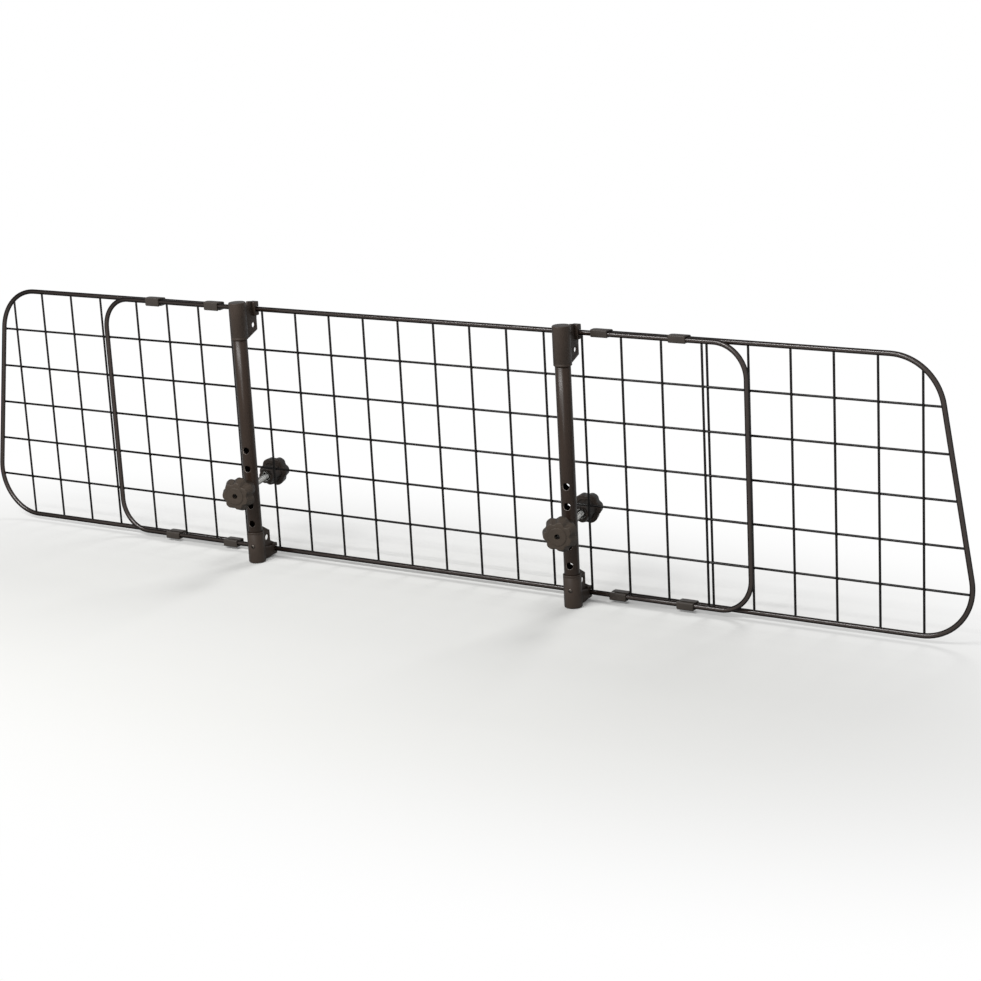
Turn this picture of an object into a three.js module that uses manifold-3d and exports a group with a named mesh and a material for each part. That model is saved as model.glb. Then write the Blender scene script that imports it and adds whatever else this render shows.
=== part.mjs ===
import * as THREE from 'three';
import { mergeVertices } from 'three/addons/utils/BufferGeometryUtils.js';
import Module from 'manifold-3d';

const wasm = await Module();
wasm.setup();

// A car dog guard of welded wire mesh that is clamped to the two poles of a headrest.
// Millimetres. X runs along the guard, Y away from the posts towards the mesh, Z up.
// The origin lies midway between the two clamps, in the plane of the poles, at the bolts' height.

// Clearances
const seatGap = 0.3;
const runGap = 0.3;
const overrun = 2;

// Rods and wires
const rodDiameter = 6;
const wireDiameter = 2.6;
const weldBite = 0.35;
const wireOverhang = 2.2;

// Centre panel
const meshPitch = 50;
const meshRows = 5;
const edgeRowBottom = 53;
const edgeRowTop = 51;
const centreColumns = 17;
const edgeColumn = 53;
const centreCorner = 39;
const panelShift = -16.2;

// Wings, whose outer side leans
const rodSpacing = 6.5;
const wingTopCorner = 60;
const wingBottomCorner = 58;
const sideBeyondTop = 14.5;
const sideBeyondBottom = 64;
const wingRowDrop = 1.9;
const rightColumns = 6;
const rightOverhang = 2.6;
const rightTopClipToPost = 30.05;
const rightBottomClipToPost = 41.05;
const leftColumns = 4;
const leftOverhang = 65.6;
const leftTopClipToPost = 65.95;
const leftBottomClipToPost = 65.95;

// Clips that hold a wing's rods behind the panel's rods
const clipLength = 21.5;
const clipOutwardReach = 5.2;
const clipInwardReach = 4.2;
const clipDeepInwardReach = 5.6;
const clipWall = 1.8;
const clipChamfer = 2.4;
const outerClipInset = 82;
const prongStop = 2;

// Posts
const postSpacing = 454.5;
const postDiameter = 18;
const postWall = 1.3;
const postToRods = 33;
const poleToPost = 15;
const postHoles = 5;
const postHolePitch = 23.25;
const boltHole = 2;
const boltHeight = 89;
const boltTurnDegrees = 14;

// End fittings of the posts
const cupWall = 1.2;
const cupFloor = 3;
const upperCupOutward = 14.2;
const lowerCupOutward = 7.8;
const cupInward = 31;
const cupChamfer = 1;
const earThickness = 3;
const upperEarDepth = 31.5;
const lowerEarDepth = 26.5;
const earRootDepth = 13;
const earTopHeight = 34;
const earBackHeight = 25.5;
const earHoleDiameter = 8.5;
const upperEarHoleDepth = 23.6;
const lowerEarHoleDepth = 20.9;
const earHoleHeight = 17.4;
const hookWidth = 9;
const hookReach = 2.9;
const hookShoulder = 12;
const hookJawInward = 7.6;
const upperJawOutward = 9.5;
const lowerJawOutward = 6.4;
const hookMouth = 5.4;
const notchWidth = 7;
const notchDepth = 7.5;
const notchStart = 12.6;

// Screws that hold the posts in the lower fittings
const screwDiameter = 2.6;
const screwHeadDiameter = 4.4;
const screwHeadHeight = 1.1;
const screwLength = 4.4;
const screwHeight = 14;

// Clamp bolts and their nuts
const boltDiameter = 8;
const boltHeadAcross = 13;
const boltHeadHeight = 5.3;
const nutHeight = 6.5;
const boltLength = 110;

// Star knobs, of which the rear ones are smaller and flare from their hubs
const frontKnobLobes = 7;
const frontKnobRadius = 19.3;
const frontKnobTaper = 3.8;
const frontKnobHeadLength = 17;
const frontKnobHubLength = 24.4;
const frontKnobHubRadius = 10;
const frontKnobHubDraft = 0.6;
const rearKnobLobes = 6;
const rearKnobRadius = 18;
const rearKnobTaper = 1;
const rearKnobHeadLength = 15;
const rearKnobHubLength = 20.82;
const rearKnobHubRadius = 13;
const rearKnobHubDraft = 3;
const knobLobeHeight = 2.2;
const knobBevel = 1.5;
const knobFaceHole = 6;
const knobFaceWall = 8;
const hubToPost = 44;

// Fineness of the round forms
const rodSides = 10;
const wireSides = 6;
const roundSides = 24;
const boreSides = 12;
const hexSides = 6;
const lobePoints = 8;
const arcDivisions = 4;
const hairline = 1e-4;

// Sizes worked out from the ones above
const rodRadius = rodDiameter / 2;
const wireRadius = wireDiameter / 2;
const postRadius = postDiameter / 2;
const panelHeight = (meshRows - 1) * meshPitch + edgeRowBottom + edgeRowTop;
const panelWidth = (centreColumns - 1) * meshPitch + 2 * edgeColumn;
const bottomRodZ = -boltHeight;
const topRodZ = panelHeight - boltHeight;
const postY = -poleToPost;
const panelY = postY + postToRods;
const wingY = panelY + rodSpacing;
const crossWireOffset = wireDiameter - weldBite;
const lastCentreWire = ((centreColumns - 1) * meshPitch) / 2;
const turn = THREE.MathUtils.degToRad(boltTurnDegrees);
const cupBore = postRadius + seatGap;
const cupRadius = cupBore + cupWall;
const hubGap = postRadius + seatGap;
const frontKnobLength = frontKnobHeadLength + frontKnobHubLength;
const rearKnobLength = rearKnobHeadLength + rearKnobHubLength;

// Finishes
const finish = (color, roughness, metalness) => new THREE.MeshStandardMaterial({ color, roughness, metalness });
const coatedSteel = () => finish(0x3f3733, 0.45, 0.3);
const coatedWire = () => finish(0x241f1d, 0.5, 0.3);
const fittingPlastic = () => finish(0x4a443f, 0.6, 0);
const knobPlastic = () => finish(0x5a524a, 0.65, 0);
const clipPlastic = () => finish(0x45413d, 0.7, 0);
const zincSteel = () => finish(0xc9c9c4, 0.3, 0.9);

// Turns a three.js geometry into a solid for joining and cutting.
function solid(geometry) {
  const bare = geometry.clone();
  bare.deleteAttribute('normal');
  bare.deleteAttribute('uv');
  const merged = mergeVertices(bare, hairline);
  const vertProperties = new Float32Array(merged.attributes.position.array);
  const triVerts = new Uint32Array(merged.index.array);
  return new wasm.Manifold(new wasm.Mesh({ numProp: 3, vertProperties, triVerts }));
}

// Turns a solid back into a geometry.
function surface(body) {
  const mesh = body.getMesh();
  const points = [];
  for (let i = 0; i < mesh.vertProperties.length; i += mesh.numProp) {
    points.push(...mesh.vertProperties.subarray(i, i + 3));
  }
  const geometry = new THREE.BufferGeometry();
  geometry.setAttribute('position', new THREE.Float32BufferAttribute(points, 3));
  geometry.setIndex(Array.from(mesh.triVerts));
  geometry.computeVertexNormals();
  return geometry;
}

const join = (geometries) => surface(geometries.map(solid).reduce((whole, piece) => whole.add(piece)));
const cut = (geometry, tools) => surface(tools.map(solid).reduce((rest, tool) => rest.subtract(tool), solid(geometry)));
const common = (first, second) => surface(solid(first).intersect(solid(second)));

// Radius of the corners of a many-sided bar whose flats lie at the given radius.
const cornerRadius = (flatRadius, sides) => flatRadius / Math.cos(Math.PI / sides);

// A polygon from a list of two-number points.
const polygon = (points) => new THREE.Shape(points.map(([x, y]) => new THREE.Vector2(x, y)));

// A prism of a polygon, along Z from zero.
const prism = (shape, length) =>
  new THREE.ExtrudeGeometry(shape, { depth: length, bevelEnabled: false, curveSegments: arcDivisions });

// A prism drawn in Y and Z and centred on X = 0.
function prismAlongX(points, length) {
  const geometry = prism(polygon(points), length);
  geometry.rotateZ(Math.PI / 2);
  geometry.rotateY(Math.PI / 2);
  geometry.translate(-length / 2, 0, 0);
  return geometry;
}

// A prism drawn in X and Z, from Y = start to Y = start + length.
function prismAlongY(points, start, length) {
  const geometry = prism(polygon(points), length);
  geometry.rotateX(Math.PI / 2);
  geometry.translate(0, start + length, 0);
  return geometry;
}

// A bar along an axis from one place to another, with its flats square to X, Y or Z.
function bar(axis, from, to, flatRadius, sides) {
  const radius = cornerRadius(flatRadius, sides);
  const geometry = new THREE.CylinderGeometry(radius, radius, to - from, sides, 1, false, Math.PI / sides);
  if (axis === 'x') geometry.rotateZ(-Math.PI / 2);
  if (axis === 'z') geometry.rotateX(Math.PI / 2);
  const middle = (from + to) / 2;
  geometry.translate(axis === 'x' ? middle : 0, axis === 'y' ? middle : 0, axis === 'z' ? middle : 0);
  return geometry;
}

// A body of revolution about Z. Its profile is a list of radius and height.
function turned(profile, sides) {
  const geometry = new THREE.LatheGeometry(profile.map(([r, z]) => new THREE.Vector2(r, z)), sides);
  geometry.rotateX(Math.PI / 2);
  return geometry;
}

// A line of straight runs and small steps round its bends, walked step by step.
class RodLine extends THREE.Curve {
  constructor(points, closed) {
    super();
    this.points = points.map((p) => new THREE.Vector3(p.x, 0, p.y));
    this.closed = closed;
    this.steps = this.points.length - 1;
  }

  getPoint(t, target = new THREE.Vector3()) {
    const place = t * this.steps;
    const i = Math.min(Math.floor(place + hairline), this.steps - 1);
    return target.lerpVectors(this.points[i], this.points[i + 1], Math.max(place - i, 0));
  }

  getPointAt(u, target) {
    return this.getPoint(u, target);
  }

  stepDirection(i) {
    return this.points[i + 1].clone().sub(this.points[i]).normalize();
  }

  getTangentAt(u, target = new THREE.Vector3()) {
    const i = Math.round(u * this.steps);
    const before = i > 0 ? i - 1 : this.steps - 1;
    const after = i < this.steps ? i : 0;
    if (!this.closed && i === 0) return target.copy(this.stepDirection(0));
    if (!this.closed && i === this.steps) return target.copy(this.stepDirection(this.steps - 1));
    return target.copy(this.stepDirection(before)).add(this.stepDirection(after)).normalize();
  }
}

// Points of an outline whose corners are rounded. A corner is x, z and a radius, zero for an end.
function roundedOutline(corners, closed) {
  const path = new THREE.Path();
  const count = corners.length;
  corners.forEach(([x, z, radius], i) => {
    const corner = new THREE.Vector2(x, z);
    if (radius === 0) {
      if (i === 0) path.moveTo(x, z);
      else path.lineTo(x, z);
      return;
    }
    const toLast = new THREE.Vector2(...corners[(i + count - 1) % count]).sub(corner).normalize();
    const toNext = new THREE.Vector2(...corners[(i + 1) % count]).sub(corner).normalize();
    const half = Math.acos(toLast.dot(toNext)) / 2;
    const bisector = toLast.clone().add(toNext).normalize();
    const centre = corner.clone().addScaledVector(bisector, radius / Math.sin(half));
    const start = corner.clone().addScaledVector(toLast, radius / Math.tan(half));
    const end = corner.clone().addScaledVector(toNext, radius / Math.tan(half));
    const clockwise = toLast.cross(toNext) > 0;
    if (i === 0) path.moveTo(start.x, start.y);
    else path.lineTo(start.x, start.y);
    const from = start.clone().sub(centre).angle();
    path.absarc(centre.x, centre.y, radius, from, end.clone().sub(centre).angle(), clockwise);
  });
  if (closed) path.closePath();
  const points = path.getPoints(arcDivisions);
  return points.filter((p, i) => i === 0 || p.distanceTo(points[i - 1]) > hairline);
}

// A round rod along an outline, either a closed ring or with two cut ends.
function rod(outline, closed) {
  const line = new RodLine(outline, closed);
  const radius = cornerRadius(rodRadius, rodSides);
  if (closed) return new THREE.TubeGeometry(line, line.steps, radius, rodSides, true);
  const section = new THREE.Shape(new THREE.Path().absarc(0, 0, radius, 0, 2 * Math.PI).getPoints(rodSides / 2));
  return new THREE.ExtrudeGeometry(section, { steps: line.steps, extrudePath: line, bevelEnabled: false });
}

// How far a wire may run towards an outline, on the line where the other coordinate is fixed.
// The result leaves room for the rod, the edge of the wire's own end and a gap.
function wireEnd(outline, fixed, at, along, side) {
  let furthest = null;
  let end = null;
  for (let i = 1; i < outline.length; i += 1) {
    const a = outline[i - 1];
    const b = outline[i];
    if ((a[fixed] - at) * (b[fixed] - at) > 0 || a[fixed] === b[fixed]) continue;
    const place = a[along] + ((at - a[fixed]) / (b[fixed] - a[fixed])) * (b[along] - a[along]);
    if (furthest !== null && side * place < side * furthest + hairline) continue;
    const slope = Math.atan(Math.abs((b[along] - a[along]) / (b[fixed] - a[fixed])));
    const edge = cornerRadius(wireRadius, wireSides) * Math.sin(slope);
    furthest = place;
    end = place - (side * (cornerRadius(rodRadius, rodSides) + seatGap + edge)) / Math.cos(slope);
  }
  return end;
}

// Welded mesh: upright wires in the plane of the rods and cross wires behind them.
function wireMesh(uprights, crossWires) {
  const upright = ([x, from, to]) => bar('z', from, to, wireRadius, wireSides).translate(x, 0, 0);
  const flatSide = Math.PI / wireSides;
  const cross = ([z, from, to]) =>
    bar('x', from, to, wireRadius, wireSides).rotateX(flatSide).translate(0, crossWireOffset, z);
  return join([...uprights.map(upright), ...crossWires.map(cross)]);
}

const rowHeights = Array.from({ length: meshRows }, (_, i) => bottomRodZ + edgeRowBottom + i * meshPitch);

// Outline of the panel's rod, about its own middle.
const centreOutline = roundedOutline(
  [
    [panelWidth / 2, bottomRodZ, centreCorner],
    [panelWidth / 2, topRodZ, centreCorner],
    [-panelWidth / 2, topRodZ, centreCorner],
    [-panelWidth / 2, bottomRodZ, centreCorner],
  ],
  true,
);

function centreMesh() {
  const uprights = [];
  for (let i = 0; i < centreColumns; i += 1) {
    const x = -lastCentreWire + i * meshPitch;
    uprights.push([x, wireEnd(centreOutline, 'x', x, 'y', -1), wireEnd(centreOutline, 'x', x, 'y', 1)]);
  }
  const crossWires = rowHeights.map((z) => [
    z,
    wireEnd(centreOutline, 'y', z, 'x', -1),
    wireEnd(centreOutline, 'y', z, 'x', 1),
  ]);
  return wireMesh(uprights, crossWires);
}

// A wing, with X running outwards from its innermost wire. Its rod's ends stop inside its clips,
// whose middles lie at the given distances.
function wingOutline(columns, clipTop, clipBottom) {
  const lastWire = (columns - 1) * meshPitch;
  const rodInClip = clipLength / 2 - prongStop;
  return roundedOutline(
    [
      [-clipBottom - rodInClip, bottomRodZ, 0],
      [lastWire + sideBeyondBottom, bottomRodZ, wingBottomCorner],
      [lastWire + sideBeyondTop, topRodZ, wingTopCorner],
      [-clipTop - rodInClip, topRodZ, 0],
    ],
    false,
  );
}

function wingMesh(direction, columns, outline) {
  const uprights = [];
  for (let i = 0; i < columns; i += 1) {
    const x = i * meshPitch;
    uprights.push([direction * x, wireEnd(outline, 'x', x, 'y', -1), wireEnd(outline, 'x', x, 'y', 1)]);
  }
  const crossWires = rowHeights.map((height) => {
    const z = height - wingRowDrop;
    const ends = [-direction * wireOverhang, direction * wireEnd(outline, 'y', z, 'x', 1)];
    return [z, Math.min(...ends), Math.max(...ends)];
  });
  return wireMesh(uprights, crossWires);
}

// A clip round both rods, drawn for the top: Z points away from the mesh, Y = 0 is the panel's rod.
// Its channel is open towards the mesh, so that it passes the upright wires' ends.
function clip(inwardReach) {
  const front = -rodRadius - clipWall;
  const back = rodSpacing + rodRadius + clipWall;
  const corner = clipChamfer / 2;
  const section = [
    [front + corner, -inwardReach],
    [back - corner, -inwardReach],
    [back, -inwardReach + corner],
    [back, clipOutwardReach - corner],
    [back - corner, clipOutwardReach],
    [front + corner, clipOutwardReach],
    [front, clipOutwardReach - corner],
    [front, -inwardReach + corner],
  ];
  const end = clipLength / 2;
  const face = [
    [end - clipChamfer, -inwardReach],
    [end, -inwardReach + clipChamfer],
    [end, clipOutwardReach - clipChamfer],
    [end - clipChamfer, clipOutwardReach],
    [-end + clipChamfer, clipOutwardReach],
    [-end, clipOutwardReach - clipChamfer],
    [-end, -inwardReach + clipChamfer],
    [-end + clipChamfer, -inwardReach],
  ];
  const block = common(prismAlongX(section, clipLength), prismAlongY(face, front - overrun, back - front + 2 * overrun));
  const channelRadius = cornerRadius(rodRadius + runGap, boreSides);
  const long = clipLength + 2 * overrun;
  const panelChannel = bar('x', -long / 2, long / 2, rodRadius + runGap, boreSides);
  const wingChannel = panelChannel.clone().translate(0, rodSpacing, 0);
  const between = prismAlongX(
    [
      [0, -rodRadius - runGap],
      [rodSpacing, -rodRadius - runGap],
      [rodSpacing, rodRadius + runGap],
      [0, rodRadius + runGap],
    ],
    long,
  );
  const slotHalf = cornerRadius(wireRadius, wireSides) + runGap;
  const slot = prismAlongX(
    [
      [-slotHalf, -inwardReach - overrun],
      [slotHalf, -inwardReach - overrun],
      [slotHalf, -channelRadius / 2],
      [-slotHalf, -channelRadius / 2],
    ],
    long,
  );
  return cut(block, [panelChannel, wingChannel, between, slot]);
}

// The end fitting of a post, drawn for the bottom. Z = 0 is the rod's height and Z points to the mesh,
// Y = 0 is the post's axis. A cup holds the tube, and an ear behind it hooks on the panel's rod.
// The upper one reaches further past its rod and has a notch between its cup and its ear.
function endFitting(upper) {
  const cupOutward = upper ? upperCupOutward : lowerCupOutward;
  const jawOutward = upper ? upperJawOutward : lowerJawOutward;
  const earDepth = upper ? upperEarDepth : lowerEarDepth;
  const earHoleDepth = upper ? upperEarHoleDepth : lowerEarHoleDepth;
  const cup = turned(
    [
      [0, -cupOutward],
      [cupRadius - cupChamfer, -cupOutward],
      [cupRadius, -cupOutward + cupChamfer],
      [cupRadius, cupInward],
      [cupBore, cupInward],
      [cupBore, -cupOutward + cupFloor],
      [0, -cupOutward + cupFloor],
    ],
    roundSides,
  );
  const hookEnd = postToRods + hookReach;
  const earRoot = cupBore + cupWall / 2;
  const outer = -cupOutward + cupChamfer;
  const notch = [
    [notchStart, outer],
    [notchStart + notchWidth / 2, outer + notchDepth],
    [notchStart + notchWidth, outer],
  ];
  const ear = prismAlongX(
    [
      [earRoot, outer],
      ...(upper ? notch : []),
      [hookEnd - cupChamfer, -jawOutward],
      [hookEnd, -jawOutward + cupChamfer],
      [hookEnd, hookJawInward - cupChamfer],
      [hookEnd - cupChamfer, hookJawInward],
      [earDepth, hookShoulder],
      [earDepth, earBackHeight],
      [earRootDepth, earTopHeight],
      [earRoot, earTopHeight],
    ],
    earThickness,
  );
  const hookStart = postToRods - 2 * rodRadius;
  const hook = prismAlongX(
    [
      [hookStart, -jawOutward],
      [hookEnd - cupChamfer, -jawOutward],
      [hookEnd, -jawOutward + cupChamfer],
      [hookEnd, hookJawInward - cupChamfer],
      [hookEnd - cupChamfer, hookJawInward],
      [hookStart, hookJawInward],
    ],
    hookWidth,
  );
  const wide = hookWidth + 2 * overrun;
  const rodChannel = bar('x', -wide / 2, wide / 2, rodRadius + runGap, boreSides).translate(0, postToRods, 0);
  const mouth = prismAlongX(
    [
      [postToRods, -hookMouth / 2],
      [hookEnd + overrun, -hookMouth / 2],
      [hookEnd + overrun, hookMouth / 2],
      [postToRods, hookMouth / 2],
    ],
    wide,
  );
  const earHole = bar('x', -wide / 2, wide / 2, earHoleDiameter / 2, boreSides)
    .translate(0, earHoleDepth, earHoleHeight);
  const bore = bar('z', -cupOutward + cupFloor, earTopHeight + overrun, cupBore, roundSides);
  const tools = [rodChannel, mouth, earHole, bore];
  if (!upper) {
    const hole = bar('y', -cupRadius - overrun, 0, screwDiameter / 2 + seatGap, boreSides);
    tools.push(hole.translate(0, 0, screwHeight).rotateZ(turn));
  }
  return cut(join([cup, ear, hook]), tools);
}

// A post's tube about its own axis, with its row of holes in line with the bolt.
function postTube() {
  const low = bottomRodZ - lowerCupOutward + cupFloor + seatGap;
  const high = topRodZ + upperCupOutward - cupFloor - seatGap;
  const bore = postRadius - postWall;
  const tube = turned(
    [
      [bore, low],
      [postRadius, low],
      [postRadius, high],
      [bore, high],
      [bore, low],
    ],
    roundSides,
  );
  const tools = [];
  for (let i = 0; i < postHoles; i += 1) {
    const hole = bar('y', -postDiameter, postDiameter, boltDiameter / 2 + seatGap, boreSides);
    tools.push(hole.translate(0, 0, (i - boltHole) * postHolePitch).rotateZ(turn));
  }
  const screwHole = bar('y', -postDiameter, 0, screwDiameter / 2 + seatGap, boreSides);
  tools.push(screwHole.translate(0, 0, bottomRodZ + screwHeight).rotateZ(turn));
  return cut(tube, tools);
}

// The screw through the lower fitting and the tube's front wall, about the post's axis.
function postScrew() {
  const face = -cupRadius - seatGap;
  const head = bar('y', face - screwHeadHeight, face, screwHeadDiameter / 2, boreSides);
  const shank = bar('y', face - screwHeadHeight / 2, face + screwLength, screwDiameter / 2, boreSides);
  return join([head, shank]).rotateZ(turn);
}

// Outline of a star knob's head. Its radius swings between lobes and hollows as a cosine does.
function knobOutline(lobes, radius) {
  const count = lobes * lobePoints;
  const points = Array.from({ length: count }, (_, i) => {
    const angle = (i / count) * 2 * Math.PI;
    const swing = (1 - Math.cos(lobes * angle)) / 2;
    const reach = radius - knobLobeHeight * swing ** 2;
    return [reach * Math.cos(angle), reach * Math.sin(angle)];
  });
  return polygon(points);
}

// A star knob along Y: its face at Y = 0, its head behind the face and its hub behind the head.
function starKnob({ lobes, radius, taper, headLength, hubLength, hubRadius, hubDraft }, cavities) {
  const shape = knobOutline(lobes, radius - knobBevel);
  const straight = headLength - 2 * knobBevel;
  const head = new THREE.ExtrudeGeometry(shape, {
    depth: straight,
    bevelEnabled: true,
    bevelThickness: knobBevel,
    bevelSize: knobBevel,
    bevelSegments: 1,
  });
  head.translate(0, 0, knobBevel);
  const place = head.attributes.position;
  for (let i = 0; i < place.count; i += 1) {
    const scale = 1 - (taper / radius) * (1 - place.getZ(i) / headLength);
    place.setXY(i, place.getX(i) * scale, place.getY(i) * scale);
  }
  const hub = turned(
    [
      [0, headLength / 2],
      [hubRadius, headLength / 2],
      [hubRadius - hubDraft, headLength + hubLength],
      [0, headLength + hubLength],
    ],
    roundSides,
  );
  const alongY = (geometry) => geometry.rotateX(-Math.PI / 2).rotateY(Math.PI);
  return cut(join([alongY(head), alongY(hub)]), cavities);
}

const boltBore = boltDiameter / 2 + seatGap;
const headPocket = boltHeadAcross / 2 + seatGap;

// The front knob is moulded round the bolt's head and shows a round hole in its face.
function frontKnob() {
  const sizes = {
    lobes: frontKnobLobes,
    radius: frontKnobRadius,
    taper: frontKnobTaper,
    headLength: frontKnobHeadLength,
    hubLength: frontKnobHubLength,
    hubRadius: frontKnobHubRadius,
    hubDraft: frontKnobHubDraft,
  };
  return starKnob(sizes, [
    bar('y', -overrun, knobFaceWall + overrun, knobFaceHole / 2, boreSides),
    bar('y', knobFaceWall, knobFaceWall + boltHeadHeight + 2 * seatGap, headPocket, hexSides),
    bar('y', knobFaceWall + boltHeadHeight, frontKnobLength + overrun, boltBore, boreSides),
  ]);
}

// The rear knob is bored right through and holds a nut in the end of its hub.
function rearKnob() {
  const sizes = {
    lobes: rearKnobLobes,
    radius: rearKnobRadius,
    taper: rearKnobTaper,
    headLength: rearKnobHeadLength,
    hubLength: rearKnobHubLength,
    hubRadius: rearKnobHubRadius,
    hubDraft: rearKnobHubDraft,
  };
  return starKnob(sizes, [
    bar('y', -overrun, rearKnobLength + overrun, boltBore, boreSides),
    bar('y', rearKnobLength - nutHeight - seatGap, rearKnobLength + overrun, headPocket, hexSides),
  ]);
}

// The clamp bolt along Y from the front knob's face at Y = 0.
function clampBolt() {
  const start = knobFaceWall + seatGap;
  const seat = start + boltHeadHeight;
  const head = bar('y', start, seat, boltHeadAcross / 2, hexSides);
  const shank = bar('y', start + boltHeadHeight / 2, seat + boltLength, boltDiameter / 2, boreSides);
  return join([head, shank]);
}

// The nut in the rear knob's hub, along Y from zero.
function clampNut() {
  const nut = bar('y', 0, nutHeight, boltHeadAcross / 2, hexSides);
  return cut(nut, [bar('y', -overrun, nutHeight + overrun, boltDiameter / 2 + seatGap, boreSides)]);
}

const guard = new THREE.Group();

// Adds a named piece to a group.
function add(group, name, geometry, material) {
  const mesh = new THREE.Mesh(geometry, material);
  mesh.name = name;
  group.add(mesh);
  return mesh;
}

// Centre panel
const panel = new THREE.Group();
panel.position.set(panelShift, panelY, 0);
guard.add(panel);
add(panel, 'centre_frame', rod(centreOutline, true), coatedSteel());
add(panel, 'centre_mesh', centreMesh(), coatedWire());

// Clips, each turned so that its open side faces the mesh
function addClip(group, name, x, y, top, inwardReach) {
  const mesh = add(group, name, clip(inwardReach), clipPlastic());
  mesh.position.set(x, y, top ? topRodZ : bottomRodZ);
  mesh.rotation.y = top ? 0 : Math.PI;
}

const outerClipX = panelWidth / 2 - outerClipInset;
addClip(panel, 'left_outer_clip_top', -outerClipX, 0, true, clipDeepInwardReach);
addClip(panel, 'left_outer_clip_bottom', -outerClipX, 0, false, clipInwardReach);
addClip(panel, 'right_outer_clip_top', outerClipX, 0, true, clipInwardReach);
addClip(panel, 'right_outer_clip_bottom', outerClipX, 0, false, clipInwardReach);

// Wings, the left one's rod turned about Z. Their inner clips keep their distances from the post.
function addWing(name, direction, columns, overhang, topClipToPost, bottomClipToPost, topReach) {
  const wing = new THREE.Group();
  wing.position.set(panelShift + direction * (lastCentreWire + overhang), wingY, 0);
  guard.add(wing);
  const firstWireToPost = direction * wing.position.x - postSpacing / 2;
  const clipTop = firstWireToPost - topClipToPost;
  const clipBottom = firstWireToPost - bottomClipToPost;
  const outline = wingOutline(columns, clipTop, clipBottom);
  const frame = rod(outline, false).rotateZ(direction < 0 ? Math.PI : 0);
  add(wing, `${name}_wing_frame`, frame, coatedSteel());
  add(wing, `${name}_wing_mesh`, wingMesh(direction, columns, outline), coatedWire());
  addClip(wing, `${name}_inner_clip_top`, -direction * clipTop, -rodSpacing, true, topReach);
  addClip(wing, `${name}_inner_clip_bottom`, -direction * clipBottom, -rodSpacing, false, clipInwardReach);
}

addWing('left', -1, leftColumns, leftOverhang, leftTopClipToPost, leftBottomClipToPost, clipDeepInwardReach);
addWing('right', 1, rightColumns, rightOverhang, rightTopClipToPost, rightBottomClipToPost, clipInwardReach);

// Posts, their fittings and their clamps
function addPost(side, x) {
  const post = new THREE.Group();
  post.position.set(x, postY, 0);
  guard.add(post);
  add(post, `${side}_post_tube`, postTube(), coatedSteel());
  const lower = add(post, `${side}_lower_fitting`, endFitting(false), fittingPlastic());
  lower.position.z = bottomRodZ;
  const upper = add(post, `${side}_upper_fitting`, endFitting(true), fittingPlastic());
  upper.position.z = topRodZ;
  upper.rotation.y = Math.PI;
  const screw = add(post, `${side}_post_screw`, postScrew(), zincSteel());
  screw.position.z = bottomRodZ + screwHeight;

  const clamp = new THREE.Group();
  clamp.rotation.z = turn;
  post.add(clamp);
  const face = -hubGap - frontKnobLength;
  const front = add(clamp, `${side}_front_knob`, frontKnob(), knobPlastic());
  front.position.y = face;
  const bolt = add(clamp, `${side}_clamp_bolt`, clampBolt(), zincSteel());
  bolt.position.y = face;
  const rear = add(clamp, `${side}_rear_knob`, rearKnob(), knobPlastic());
  rear.position.y = hubToPost + rearKnobLength;
  rear.rotation.x = Math.PI;
  const nut = add(clamp, `${side}_clamp_nut`, clampNut(), zincSteel());
  nut.position.y = hubToPost;
}

addPost('left', -postSpacing / 2);
addPost('right', postSpacing / 2);

export default guard;
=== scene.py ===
"""The looks of a car dog guard: a centre panel and two sliding wings of welded mesh on two clamp posts.

X runs along the guard, Y from the posts to the mesh and Z up. Sizes are in millimetres, and a
piece's points are turned to metres when its mesh is made.
"""

from __future__ import annotations

import logging
import math
from collections.abc import Sequence
from dataclasses import dataclass
from enum import Enum

import bmesh
import bpy
import numpy as np
from mathutils import Matrix, Vector
from mathutils.geometry import tessellate_polygon


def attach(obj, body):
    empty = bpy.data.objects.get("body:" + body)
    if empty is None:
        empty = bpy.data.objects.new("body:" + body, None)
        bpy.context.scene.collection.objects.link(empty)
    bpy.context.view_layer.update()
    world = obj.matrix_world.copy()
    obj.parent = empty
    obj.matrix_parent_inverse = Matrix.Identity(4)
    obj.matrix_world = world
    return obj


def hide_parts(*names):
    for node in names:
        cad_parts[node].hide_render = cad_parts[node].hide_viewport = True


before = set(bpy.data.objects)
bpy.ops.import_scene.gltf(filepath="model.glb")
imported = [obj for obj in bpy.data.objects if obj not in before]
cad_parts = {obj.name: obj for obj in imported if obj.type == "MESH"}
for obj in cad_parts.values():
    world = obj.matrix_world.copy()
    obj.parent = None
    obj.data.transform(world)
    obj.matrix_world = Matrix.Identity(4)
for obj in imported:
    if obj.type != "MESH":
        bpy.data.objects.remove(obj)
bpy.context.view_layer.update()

log = logging.getLogger("dog_guard")

MM = 0.001
PHOTO_PIXELS = 981
SENSOR_WIDTH = 36.0
ROD_RADIUS = 3.0
ROD_PLAY = 0.3
ROD_SPACING = 6.5
POST_Y = -15.0
PANEL_Y = 18.0
WING_Y = PANEL_Y + ROD_SPACING
BOTTOM_Z = -89.0
TOP_Z = 215.0
PITCH = 50.0
ROWS = 5
FIRST_ROW_RISE = 53.0
ROW_HEIGHTS = BOTTOM_Z + FIRST_ROW_RISE + PITCH * np.arange(ROWS)
WING_ROW_DROP = 1.9
CLIP_REACH = 3.8
DEEP_CLIP_REACH = 5.6
PANEL_MIDDLE = -16.2
LAST_CENTRE_WIRE = 400.0


class Side(Enum):
    """Which half of the guard a piece belongs to."""

    LEFT = -1
    RIGHT = 1

    @property
    def word(self) -> str:
        """The word that starts the names of its nodes."""
        return self.name.lower()


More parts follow.
